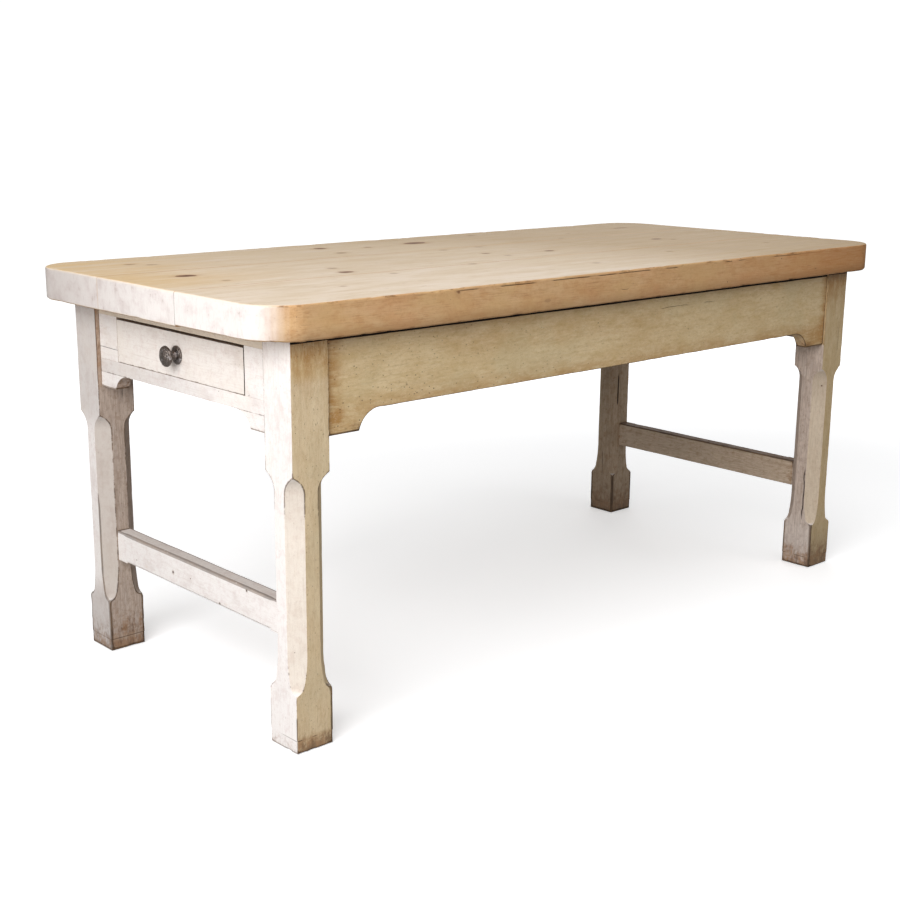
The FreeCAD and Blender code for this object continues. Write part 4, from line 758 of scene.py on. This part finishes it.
def detail(n):
    lo, hi = BOXES[n]
    bm = clean_bmesh(n)
    pts = sharp_points(bm)
    width, segs, gaps, near, extra = piece_settings(n)
    if n.startswith("top_plank"):
        # only the joint line in the end faces is eased; on the upper face the joints are tight
        bevel_sharp(bm, width, segs, only=lambda e: abs(e.verts[0].co.z - e.verts[1].co.z) > 0.02
                    and abs(e.verts[0].co.y + 0.125) < 0.001)
        pts = []
        for e in bm.edges:
            a, b = e.verts[0].co, e.verts[1].co
            if abs(a.z - b.z) < 1e-5 and (abs(a.z - 0.7738) < 0.0016 or abs(a.z - 0.7162) < 0.0016):
                k = max(1, int((b - a).length / 0.002))
                if abs(a.y) > 0.3 or abs(a.x) > 0.8:
                    pts += [a.lerp(b, i / k) for i in range(k + 1)]
    elif n.startswith("foot"):
        # rounded underneath by long use; the glue line above it is tight
        pts = [p for p in pts if p.z < 0.0247]
        bevel_sharp(bm, 0.0048, 4, only=lambda e: e.verts[0].co.z < 0.001 and e.verts[1].co.z < 0.001)
        bevel_sharp(bm, 0.0019, segs, only=lambda e: abs(e.verts[0].co.z - e.verts[1].co.z) > 0.015)
    elif n.startswith("leg"):
        pts = [p for p in pts if p.z > 0.0253]
        bevel_sharp(bm, width, segs, only=lambda e: e.verts[0].co.z > 0.026 or e.verts[1].co.z > 0.026)
    else:
        bevel_sharp(bm, width, segs)
    places = [set(cuts_for(lo[a], hi[a], gaps[a], near)) | {x for x in extra[a] if lo[a] < x < hi[a]} for a in range(3)]
    for c in CRACKS.get(n, ()):
        places[c["across"]] = {x for x in places[c["across"]] if abs(x - c["at"]) > c["width"] * 2.2}
        places[c["across"]] |= {c["at"] - c["width"], c["at"], c["at"] + c["width"]}
    for axis in sorted(range(3), key=lambda i: -len(places[i])):
        for at in sorted(places[axis]):
            cut(bm, axis, at)
    bmesh.ops.triangulate(bm, faces=[f for f in bm.faces if len(f.verts) > 4])
    for e in bm.edges:
        e.smooth = not (len(e.link_faces) == 2 and e.calc_face_angle(0) > math.radians(50))
    me = bpy.data.meshes.new(n + "_made")
    bm.to_mesh(me)
    bm.free()
    me.update()
    count = len(me.vertices)
    co = np.zeros(count * 3, np.float32)
    me.vertices.foreach_get("co", co)
    co = co.reshape(-1, 3).astype(float)
    no = np.zeros(count * 3, np.float32)
    me.vertex_normals.foreach_get("vector", no)
    no = no.reshape(-1, 3).astype(float)
    edge = np.full(count, 30.0)
    if pts:
        tree = KDTree(len(pts))
        for i, p in enumerate(pts):
            tree.insert(p, i)
        tree.balance()
        edge = np.array([min(30.0, tree.find(Vector(c))[2] * 1000) for c in co])
    joint = np.full(count, 15.0)
    others = neighbour_tree(n)
    if others is not None:
        find = others.find_nearest
        for i in range(count):
            hit = find(Vector(co[i]), 0.015)
            if hit[3] is not None:
                joint[i] = hit[3] * 1000
    # dents and wear: push the arrises in a little where the noise is high
    wear = np.clip(vnoise(co, 0.030, 5) * 0.6 + vnoise(co, 0.011, 6) * 0.5 - 0.15, 0, 1)
    amount = next((v for k, v in (("leg", 0.0015), ("top", 0.0026), ("apron", 0.0013), ("foot", 0.0016),
                                  ("stretcher", 0.0007)) if n.startswith(k)), 0.0004)
    soft = 1 + 0.9 * step(co[:, 2], 0.14, 0.02)
    push = wear * amount * soft * np.clip(1 - edge / 3.4, 0, 1) * step(joint, 0.5, 3.0)
    # occlusion, which the materials paint into the colour as shade
    if n.startswith("top_plank"):
        outside = (co[:, 2] > 0.7745) & (no[:, 2] > 0.9)
        shade = shade_of(co, no, skip=outside | (np.abs(co[:, 0]) > 0.8685))
    else:
        shade = shade_of(co, no)
    if n.startswith(("apron", "leg")):
        # less painted shade on the outer long sides under the overhang
        shade = shade * (1 - 0.70 * step(no[:, 1] * np.sign(co[:, 1].mean()), 0.5, 0.9))
    # and less painted shade on the outer faces of the upper rails and stiles
    if n.startswith(("upper", "end_stile")):
        shade = shade * (1 - 0.75 * step(no[:, 0] * np.sign(co[:, 0].mean()), 0.5, 0.9))
    new = co + field(co) - no * push[:, None]
    split = np.zeros(count)
    for c in CRACKS.get(n, ()):
        a = co[:, c["along"]]
        taper = step(a, c["a0"], c["a0"] + 0.25 * (c["a1"] - c["a0"])) * step(a, c["a1"], c["a1"] - 0.25 * (c["a1"] - c["a0"]))
        if c["breaks"]:
            q = np.zeros((count, 3))
            q[:, 0] = a
            taper = taper * step(vnoise(q, 0.045, c["seed"]) + 0.35 * vnoise(q, 0.012, c["seed"] + 50), c["breaks"] - 0.45, c["breaks"] - 0.15)
        facing = no[:, c["face"]] * c["sign"] > 0.6
        off = np.abs(co[:, c["across"]] - c["at"])
        rows = facing & (off < c["width"] * 1.3)
        middle = facing & (off < c["width"] * 0.3)
        q = np.zeros((count, 3))
        q[:, 0] = a
        sway = c["sway"] * (vnoise(q, 0.055, c["seed"] + 100) + 0.4 * vnoise(q, 0.018, c["seed"] + 200))
        new[:, c["across"]] += np.where(rows, sway * np.minimum(1, taper + 0.3), 0)
        new[:, c["face"]] -= np.where(middle, c["sign"] * c["depth"] * taper, 0)
        split = np.where(middle, np.maximum(split, taper), split)
    if n == "top_plank_front":
        # this plank stands a little proud and a little short at the ends
        lift = step(np.abs(co[:, 0]), 0.812, 0.840) * step(co[:, 2], 0.722, 0.7165)
        new[:, 2] += 0.0022 * lift
        new[:, 0] += np.sign(co[:, 0]) * 0.0007 * step(np.abs(co[:, 0]), 0.866, 0.869)
    me.vertices.foreach_set("co", new.astype(np.float32).ravel())
    add_attr(me, "shade", shade)
    if n.startswith("apron"):
        # a painted shadow line under the tabletop: a thin black line
        low = 0.7040 - 0.0009 * step(co[:, 0] * -np.sign(co[:, 1].mean()), -0.30, 0.60)
        low = low + 0.0003 * vnoise(co, (0.05, 0.05, 0.05), 73)
        out = no[:, 1] * np.sign(co[:, 1].mean()) > 0.6
        split = np.where(out, np.maximum(split, step(co[:, 2], low - 0.0001, low + 0.0008)), split)
    if n.startswith("leg"):
        # a painted shadow line under the tabletop on the legs' long sides
        out = no[:, 1] * np.sign(co[:, 1].mean()) > 0.6
        split = np.where(out, np.maximum(split, step(co[:, 2], 0.7064, 0.7076)), split)
    if n in ("drawer_left_front", "drawer_right_front"):
        # painted shadow lines in the gaps above the drawer and on its side towards the long side
        end = np.sign(co[:, 0].mean())
        out = no[:, 0] * end > 0.2
        line = np.maximum(step(co[:, 2], 0.6818, 0.6828), step(co[:, 1] * end, 0.2070, 0.2084) * 0.9)
        split = np.where(out, np.maximum(split, line), split)
    if n.startswith("top_plank"):
        # only the joint between the two nearest planks has opened on the end faces
        joint = np.where(co[:, 1] > 0.0, 15.0, joint)
    if SLOT[n] != "painted_wood":
        add_attr(me, "joint", joint)
    add_attr(me, "crack", split)
    paint_piece(n, me, co, no, edge, joint)
    add_attr(me, "edge", edge)
    me.update()
    slot = SLOT[n]
    mat = MATS.get((slot, grain_of(n))) or MATS[(slot, "X")]
    return finish_piece(n + "_made", n, me, mat)


def paint_piece(n, me, co, no, edge, joint):
    """Where the wood is tan, bare, dirty or knotty, and where painted shade dims it: broad areas that belong to one
    piece or one face.
    """
    x, y, z = co[:, 0], co[:, 1], co[:, 2]
    nx, ny, nz = no[:, 0], no[:, 1], no[:, 2]
    count = len(co)
    zero = np.zeros(count)
    if SLOT[n] == "top_wood":
        near, dark, push = knot_fields(x * 1000, y * 1000, TOP_KNOTS)
        for sign, knots in ((-1, EDGE_KNOTS[0]), (1, EDGE_KNOTS[1])):
            near2, dark2, _ = knot_fields(x * 1000, z * 1000, knots, 31)
            flank = (ny * sign > 0.6) & (y * sign > 0.3)
            near, dark = np.where(flank, near2, near), np.where(flank, dark2, dark)
            push = np.where(flank, 0, push)
        under = step(-nz, 0.3, 0.8)
        side = np.clip(step(np.abs(ny), 0.30, 0.70) + under, 0, 1)
        endg = step(np.abs(nx), 0.32, 0.98) * (1 - under)
        add_attr(me, "knot", near)
        add_attr(me, "kdark", dark)
        add_attr(me, "warp", push)
        add_attr(me, "side", side)
        add_attr(me, "endg", endg)
        add_attr(me, "plank", np.full(count, {"top_plank_front": 0.0, "top_plank_middle": 0.5}.get(n, 1.0)))
        flank = step(np.abs(ny), 0.5, 0.9) * (1 - endg)
        # painted shading: the end faces somewhat darker, most towards their left-hand side; the underside; the long
        # edges low down and towards their right-hand ends
        ends = 0.09 + step(y * -np.sign(x), -0.16, 0.40) * 0.44 + 0.07 * step(y * -np.sign(x), -0.26, -0.36)
        add_attr(me, "dim", endg * ends + under * 0.25
                 + flank * (0.02 + 0.30 * step(z, 0.740, 0.718) + 0.14 * step(x * -np.sign(y), 0.50, 0.84)))
        # painted light: the upper face paler towards the front-left corner
        add_attr(me, "pale", (1 - side) * step(x + 1.2 * y, 0.05, -0.85) * 0.8)
        add_attr(me, "gold", (1 - side) * step(x, -0.45, -0.84) * step(y, -0.22, 0.05))
        # painted shade: the upper face darker and browner towards the right and the back, the long edges towards their
        # right-hand ends
        top_falloff = (1 - side) * np.clip(step(x + 0.6 * y, -0.15, 0.55) + 0.5 * step(x, -0.1, 0.8), 0, 1)
        add_attr(me, "aged", np.where(flank > 0.5, step(x * -np.sign(y), 0.05, 0.80), top_falloff))
        return
    if SLOT[n] != "painted_wood":
        return
    tan = step(np.abs(ny), 0.50, 0.95)
    bare, grime, orange, dim = zero.copy(), zero.copy(), zero.copy(), zero.copy()
    glaze = np.full(count, 0.10)
    worm = step(vnoise(co, 0.07, 71), 0.0, 0.8) * 0.35 + 0.12
    c = co.mean(0)
    sx, sy = np.sign(c[0]), np.sign(c[1])
    if n.startswith(("leg", "foot")):
        corner = "_".join(n.split("_")[-2:])
        # at the glue line and at the rounded underside the colour is that of the face beside it
        level = np.maximum(np.hypot(nx, ny), 0.2)
        nx, ny = np.where(z < 0.027, nx / level, nx), np.where(z < 0.027, ny / level, ny)
        out_x, in_x = step(nx * sx, 0.3, 0.6), step(-nx * sx, 0.3, 0.6)
        out_y, in_y = step(ny * sy, 0.3, 0.6), step(-ny * sy, 0.3, 0.6)
        inner = np.clip(step(-nx * sx, 0.78, 0.96) + step(-ny * sy, 0.78, 0.96), 0, 1)
        long_side = step(ny * sy, 0.80, 0.95)
        # chamfers: cream on the outer corners, tan towards the inside, bare where they face the middle of the table
        cream = 0.62 if corner == "front_right" else 0.95
        tan = np.maximum(long_side * (0.88 if sy * sx > 0 else 1.0),
                         np.maximum(out_x * out_y * 0.30, np.maximum(in_x * out_y * cream, out_x * in_y * 0.14)))
        tan = np.maximum(tan, long_side * step(z, 0.56, 0.66))
        bare = np.maximum(inner * 0.85, np.maximum(in_x * in_y * 0.9, in_x * out_y * (1 - cream) * 0.7))
        low = step(z, 0.090, 0.0)
        grime = low * (0.14 + 0.30 * long_side + 0.20 * inner) + step(z, 0.034, 0.006) * (0.20 + 0.16 * long_side)
        arch = step(z, 0.38, 0.45) * step(z, 0.51, 0.49)
        toe = step(z, 0.19, 0.14) * step(z, 0.085, 0.10)
        inside = np.clip(step(x * sx, 0.740, 0.728) + step(y * sy, 0.292, 0.280), 0, 1)
        top_line, toe_line, foot_line, back_line = {
            "front_left": (0.52, 0.16, 0.60, 0.28), "rear_left": (0.16, 0.50, 0.95, 0.34),
            "front_right": (0.02, 0.10, 0.80, -0.08)}.get(corner, (0.05, 0.10, 0.70, -0.08))
        glaze = (0.12 + top_line * arch + toe_line * toe + foot_line * step(z, 0.11, 0.05)
                 + back_line * inside * step(z, 0.10, 0.14) + 0.10 * step(z, 0.52, 0.56))
        # the patch under the tabletop on the long sides, brown from hands
        orange = step(z, 0.60, 0.705) * step(np.abs(ny), 0.6, 0.95) * 0.85 + 0.18
        flat_x = step(nx * sx, 0.8, 0.95)
        # painted shade on the long sides, strongest just under the tabletop
        dim = long_side * (0.06 + 0.22 * step(z, 0.680, 0.705))
        sill = step(z, 0.008, 0.003)
        if corner == "front_left":
            # painted shade on the outer chamfer, more towards the top
            dim = dim + out_x * out_y * (1 - flat_x) * (1 - long_side) * (0.10 + 0.16 * step(z, 0.36, 0.46))
            grime = grime + long_side * (step(z, 0.036, 0.010) * 0.26 - 0.08)
            inner_rim = step(z, 0.150, 0.120) * step(x * sx, 0.742, 0.731)
            glaze = glaze + 0.45 * inner_rim
            edge *= 1 - 0.62 * np.maximum(sill, inner_rim)
        elif corner == "rear_left":
            shaft = step(z, 0.10, 0.16) * step(z, 0.50, 0.44)
            # painted shade: this leg is dimmed all over, more on its end face and on one chamfer
            dim = dim + 0.20 + flat_x * (0.16 - 0.24 * shaft) + 0.28 * out_x * in_y * (1 - flat_x)
            dim = dim + step(z, 0.20, 0.02) * (0.07 * flat_x - 0.06 * long_side)
            grime = grime + step(z, 0.12, 0.0) * (0.28 + 0.10 * inner + 0.16 * flat_x) + 0.14 * inner
            # a dark line follows the chamfer's edge on the end face down to its point
            rim = (x * sx > 0.7945) * step(y * sy, 0.304, 0.300) * step(z, 0.330, 0.300) * step(z, 0.080, 0.096)
            foot = step(z, 0.115, 0.095)
            glaze = glaze + 1.0 * rim + 0.5 * foot
            edge *= 1 - np.maximum(0.45 * rim, 0.62 * foot)
        elif corner == "rear_right":
            # painted shade: this leg stands in the table's shadow, dimmed all over and more towards the foot; its grime
            # is partly painted shade
            dim = dim + 0.34 + step(z, 0.20, 0.02) * 0.18 + 0.05 * step(x, 0.740, 0.726)
            grime = grime + 0.26 + 0.22 * step(z, 0.10, 0.0)
            tan, bare = np.maximum(tan, np.maximum(inner, in_x * in_y) * 0.9), bare * 0.72
            foot = step(z, 0.115, 0.095)
            glaze = glaze + 0.6 * foot
            edge *= 1 - 0.68 * foot
        elif corner == "front_right":
            bare = bare * (1 - 0.25 * step(z, 0.20, 0.05) * inner)
            grime = grime + long_side * step(z, 0.11, 0.03) * 0.30
            # painted shade: the long side dimmed, more near the foot and just under the tabletop, and the inner chamfer
            # dimmed
            dim = dim + long_side * (0.20 + 0.18 * step(z, 0.13, 0.05) + 0.12 * step(z, 0.688, 0.706))
            dim = dim + in_x * out_y * (1 - long_side) * (0.14 + 0.16 * step(z, 0.38, 0.46))
            foot = step(z, 0.115, 0.095) * step(x, 0.745, 0.728)
            glaze = glaze + 0.5 * foot
            grime = grime + 0.30 * foot * step(z, 0.075, 0.030)
            edge *= 1 - 0.6 * foot
        worm = worm * 0.25 + 0.60 * long_side + 0.2 * inner
        # the glue line of the foot tip shows here and there
        broken = {"front_left": 1.5, "front_right": 1.5, "rear_left": 0.0}.get(corner, 0.9)
        joint = np.where(z < 0.040, 0.9 * joint + broken * step(vnoise(co, 0.016, 61), -0.55, 0.20), joint)
        if n.startswith("leg"):
            # the narrow face between leg and stile is darkened: bare-wood colour, dirt colour and a strong glaze
            strip = (np.abs(x) > 0.7905) & (-ny * sy > 0.5) & (z > 0.546)
            grime = np.where(strip, 0.45, grime)
            bare = np.where(strip, 1.0, bare)
            glaze = np.where((np.abs(x) > 0.785) & (z > 0.546), np.where(strip, 0.75, glaze), glaze)
            # the one between leg and apron is given the tan paint and a glaze line
            strip = (np.abs(y) > 0.3445) & (-nx * sx > 0.5) & (z > 0.546)
            tan, bare = np.where(strip, 1.0, tan), np.where(strip, 0.0, bare)
            glaze = np.where(strip, 0.55, glaze)
    elif n.startswith("apron"):
        inner = step(-ny * sy, 0.3, 0.9)
        bare = inner * 0.9
        tan = np.maximum(0.9, tan)
        out = 1 - inner
        # u runs along the long side as seen by someone who faces it, left to right
        u = x * -sy
        endn = np.where(u < 0, step(u, -0.680, -0.718), 0.75 * step(u, 0.698, 0.720))
        low = step(z, 0.615, 0.580)
        orange = out * (0.14 + 0.80 * endn + 0.50 * low + 0.24 * step(vnoise(co, (0.22, 0.1, 0.05), 72), 0.0, 0.8))
        glaze = 0.64 + 0.60 * step(z, 0.556, 0.548) - 0.4 * step(z, 0.60, 0.62)
        edge *= 1 - 0.60 * step(z, 0.556, 0.549)
        joint = joint * (1 - 0.60 * step(np.abs(x), 0.700, 0.718) * out)
        worm = worm * 0.4 + out * (0.62 * step(u, 0.10, -0.62) * (0.75 + 0.35 * low) + 0.06 + 0.18 * low)
        toe = step(z, 0.568, 0.552) * step(np.abs(x), 0.690, 0.668)
        # dirt at the toes and the ends; the band just under the tabletop is painted shade
        grime = out * (0.10 * step(z, 0.664, 0.690) + 0.55 * toe + 0.10 * endn)
        # painted shade: darker under the tabletop and towards the right-hand end
        dim = out * (0.02 + (0.10 * step(z, 0.676, 0.694) + 0.18 * step(z, 0.692, 0.705))
                     * (0.8 + 0.5 * vnoise(co, (0.09, 0.03, 0.03), 74)))
        dim = dim + out * (0.10 * step(u, 0.50, 0.72) * step(z, 0.60, 0.70) + 0.05 * step(u, 0.10, 0.60))
    elif n.startswith("stretcher"):
        inner = step(-nx * sx, 0.3, 0.9)
        up = step(nz, 0.5, 0.9)
        # painted shade: the tops, the right stretcher's most, and the inner faces are darkened with the bare-wood
        # colour, the dirt colour and dimming
        bare = np.clip(inner * 0.74 + up * (0.14 if sx < 0 else 0.9) + step(-nz, 0.5, 0.9) * 0.6, 0, 1)
        dim = up * (0.12 if sx < 0 else 0.60) + inner * 0.13
        dim = dim + step(nx * sx, 0.5, 0.9) * (0.02 + 0.05 * step(y * -sx, 0.0, 0.20))
        grime = up * (0.12 if sx < 0 else 0.6) + inner * (0.16 + step(np.abs(y), 0.255, 0.276) * 0.25)
        tan = np.maximum(tan * 0.3, inner * 0.8)
        glaze = 0.18 + 0.20 * inner + 0.60 * step(z, 0.238, 0.245)
        edge *= 1 - 0.55 * step(z, 0.241, 0.246)
        worm = worm * 0.3
    elif n.startswith(("lower", "upper", "end_")):
        inner = step(-nx * sx, 0.3, 0.9)
        flat = step(np.abs(nx), 0.55, 0.9)
        bare = np.clip(inner * 0.9 + (1 - flat) * 0.85, 0, 1)
        grime = (1 - flat) * 0.45
        tan = zero.copy()
        glaze = np.full(count, -0.25)
        worm = worm * 0.15
        if n.startswith("end_bracket"):
            glaze = glaze + 0.45 * step(z, 0.5735, 0.5745) + 1.0 * step(z, 0.553, 0.548)
            edge *= 1 - 0.55 * step(z, 0.553, 0.549)
            grime = grime + 0.35 * flat * (1 - inner) * step(z, 0.556, 0.548)
        # painted shade: darker towards the left-hand side, as seen facing the end
        dim = flat * (1 - inner) * 0.10 * step(y * -sx, -0.10, 0.25)
        if n.startswith("upper"):
            # only a strip of it shows over the drawer, yellowed and never wiped
            tan, glaze, dim = 0.45 * flat, glaze + 0.30, dim * 0.4
        if n.startswith("lower"):
            # the rail's lower arris, dark where the hollow of the bracket meets it
            glaze = glaze + 0.40 * step(z, 0.580, 0.5765) + 0.35 * step(z, 0.580, 0.5765) * step(np.abs(y), 0.16, 0.178)
            # painted shade on the lower rail, more towards the left-hand side
            dim = dim + flat * (1 - inner) * 0.16 * step(y * -sx, -0.20, 0.05)
            edge *= 1 - 0.5 * step(z, 0.579, 0.577)
    elif n.endswith("front"):
        inner = step(-nx * sx, 0.3, 0.9)
        flat = step(np.abs(nx), 0.55, 0.9)
        bare = np.clip(inner * 0.9 + (1 - flat) * 0.9, 0, 1)
        grime = (1 - flat) * 0.6
        tan = 0.10 * flat
        lowest, nearest = step(z, 0.612, 0.604), step(y * sx, 0.195, 0.206)
        glaze = np.clip(0.05 + 0.40 * lowest + 0.55 * nearest, 0, 0.7)
        # painted shade: a little darker all over, more towards the left-hand side
        dim = flat * (1 - inner) * (0.04 + 0.05 * step(y * -sx, -0.1, 0.2))
        worm = worm * 0.35
    add_attr(me, "joint", joint)
    add_attr(me, "tan", np.clip(tan, 0, 1))
    add_attr(me, "bare", np.clip(bare, 0, 1))
    add_attr(me, "grime", np.clip(grime, 0, 1))
    add_attr(me, "glaze", glaze)
    add_attr(me, "orange", np.clip(orange, 0, 1))
    add_attr(me, "dim", np.clip(dim, 0, 0.97))
    add_attr(me, "worm", np.clip(worm, 0, 1))


def hammered(n):
    """The knob and its rosette, with the small dents of a hammer."""
    bm = clean_bmesh(n)
    me = bpy.data.meshes.new(n + "_made")
    bm.to_mesh(me)
    bm.free()
    me.update()
    count = len(me.vertices)
    co = np.zeros(count * 3, np.float32)
    me.vertices.foreach_get("co", co)
    co = co.reshape(-1, 3).astype(float)
    no = np.zeros(count * 3, np.float32)
    me.vertex_normals.foreach_get("vector", no)
    no = no.reshape(-1, 3).astype(float)
    dent = 0.00022 * vnoise(co, 0.0036, 41) + 0.00010 * vnoise(co, 0.0018, 42)
    dent = dent * (np.abs(co[:, 0]) > 0.7915)
    me.vertices.foreach_set("co", (co + no * dent[:, None]).astype(np.float32).ravel())
    return finish_piece(n + "_made", n, me, MATS[("dark_iron", "X")])


BOXES.update({n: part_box(n) for n in NODES})
ALL_TREE = world_tree()
for name in sorted(NODES):
    if SLOT[name] in ("top_wood", "painted_wood", "bare_wood"):
        detail(name)
    elif name.endswith(("_knob", "_rosette")):
        hammered(name)
    else:
        for s in NODES[name].material_slots:
            s.material = MATS[(SLOT[name], "X")]


# ------------------------------------------------------------------ floor, light, camera

def make_floor():
    me = bpy.data.meshes.new("floor")
    me.from_pydata([(-40, -40, 0), (40, -40, 0), (40, 40, 0), (-40, 40, 0)], [], [(0, 1, 2, 3)])
    ob = bpy.data.objects.new("floor", me)
    bpy.context.scene.collection.objects.link(ob)
    mat = bpy.data.materials.new("pale_floor")
    mat.use_nodes = True
    t = mat.node_tree
    b = t.nodes["Principled BSDF"]
    b.inputs["Base Color"].default_value = (0.45, 0.45, 0.45, 1)
    b.inputs["Roughness"].default_value = 0.9
    b.inputs["Specular IOR Level"].default_value = 0.0
    # a lit studio floor: it looks white, and throws back no more light than a pale one
    seen = t.nodes.new("ShaderNodeBsdfPrincipled")
    seen.inputs["Base Color"].default_value = (0.875, 0.89, 0.915, 1)
    seen.inputs["Roughness"].default_value = 0.9
    seen.inputs["Specular IOR Level"].default_value = 0.0
    seen.inputs["Emission Color"].default_value = (1, 1, 1, 1)
    # near the table the floor's own glow is weaker, so that the soft shadows show
    place = t.nodes.new("ShaderNodeTexCoord")
    flat = t.nodes.new("ShaderNodeVectorMath")
    flat.operation = "MULTIPLY"
    flat.inputs[1].default_value = (0.74, 1.0, 0.0)
    far = t.nodes.new("ShaderNodeVectorMath")
    far.operation = "LENGTH"
    glow = t.nodes.new("ShaderNodeMapRange")
    glow.interpolation_type = "SMOOTHSTEP"
    for name, value in (("From Min", 1.2), ("From Max", 2.6), ("To Min", 0.435), ("To Max", 0.86)):
        glow.inputs[name].default_value = value
    t.links.new(place.outputs["Object"], flat.inputs[0])
    t.links.new(flat.outputs[0], far.inputs[0])
    t.links.new(far.outputs["Value"], glow.inputs["Value"])
    t.links.new(glow.outputs["Result"], seen.inputs["Emission Strength"])
    path = t.nodes.new("ShaderNodeLightPath")
    mix = t.nodes.new("ShaderNodeMixShader")
    t.links.new(path.outputs["Is Camera Ray"], mix.inputs[0])
    t.links.new(b.outputs[0], mix.inputs[1])
    t.links.new(seen.outputs[0], mix.inputs[2])
    t.links.new(mix.outputs[0], t.nodes["Material Output"].inputs[0])
    me.materials.append(mat)


def soft_box(name, at, aim, size, watts, colour):
    light = bpy.data.lights.new(name, "AREA")
    light.shape = "RECTANGLE"
    light.size, light.size_y = size
    light.energy = watts
    light.color = colour
    ob = bpy.data.objects.new(name, light)
    bpy.context.scene.collection.objects.link(ob)
    ob.location = at
    ob.rotation_mode = "QUATERNION"
    ob.rotation_quaternion = (Vector(at) - Vector(aim)).to_track_quat("Z", "Y")
    ob.visible_camera = False
    return ob


def make_light():
    sc = bpy.context.scene
    sc.view_settings.view_transform = "Standard"
    sc.view_settings.look = "None"
    world = bpy.data.worlds.new("studio")
    sc.world = world
    world.use_nodes = True
    t = world.node_tree
    bg = t.nodes["Background"]
    bg.inputs["Color"].default_value = (1.0, 0.985, 0.96, 1)
    bg.inputs["Strength"].default_value = 0.28
    # the backdrop itself is plain white to the eye
    white = t.nodes.new("ShaderNodeBackground")
    white.inputs["Color"].default_value = (1, 1, 1, 1)
    white.inputs["Strength"].default_value = 1.05
    path = t.nodes.new("ShaderNodeLightPath")
    mix = t.nodes.new("ShaderNodeMixShader")
    t.links.new(path.outputs["Is Camera Ray"], mix.inputs[0])
    t.links.new(bg.outputs[0], mix.inputs[1])
    t.links.new(white.outputs[0], mix.inputs[2])
    t.links.new(mix.outputs[0], t.nodes["World Output"].inputs[0])
    soft_box("key", (-3.2, -1.4, 1.9), (-0.4, 0.0, 0.45), (2.6, 2.2), 125, (1.0, 0.985, 0.975))
    soft_box("above", (-0.3, -0.3, 3.2), (0.0, 0.0, 0.7), (3.0, 2.0), 26, (1.0, 0.99, 0.98))
    soft_box("fill", (3.3, 2.5, 2.0), (0.2, 0.0, 0.4), (2.2, 2.2), 26, (1.0, 0.99, 0.98))
    soft_box("side", (2.0, -3.2, 1.6), (0.5, -0.35, 0.5), (2.4, 1.8), 14, (1.0, 0.985, 0.96))


def make_camera():
    cam = bpy.data.cameras.new("camera")
    cam.sensor_width = 36.0
    cam.sensor_fit = "HORIZONTAL"
    cam.lens = 56.164
    cam.clip_start, cam.clip_end = 0.05, 200
    ob = bpy.data.objects.new("camera", cam)
    bpy.context.scene.collection.objects.link(ob)
    a, e, r = math.radians(-42.59), math.radians(13.69), math.radians(0.46)
    back = Vector((math.sin(a) * math.cos(e), -math.cos(a) * math.cos(e), math.sin(e)))
    fwd = -back
    right = fwd.cross(Vector((0, 0, 1))).normalized()
    up = right.cross(fwd)
    rr = right * math.cos(r) + up * math.sin(r)
    uu = -right * math.sin(r) + up * math.cos(r)
    m = Matrix((rr, uu, back)).transposed().to_4x4()
    m.translation = Vector((-2.100, -2.143, 1.073))
    ob.matrix_world = m
    bpy.context.scene.camera = ob


make_floor()
make_light()
make_camera()
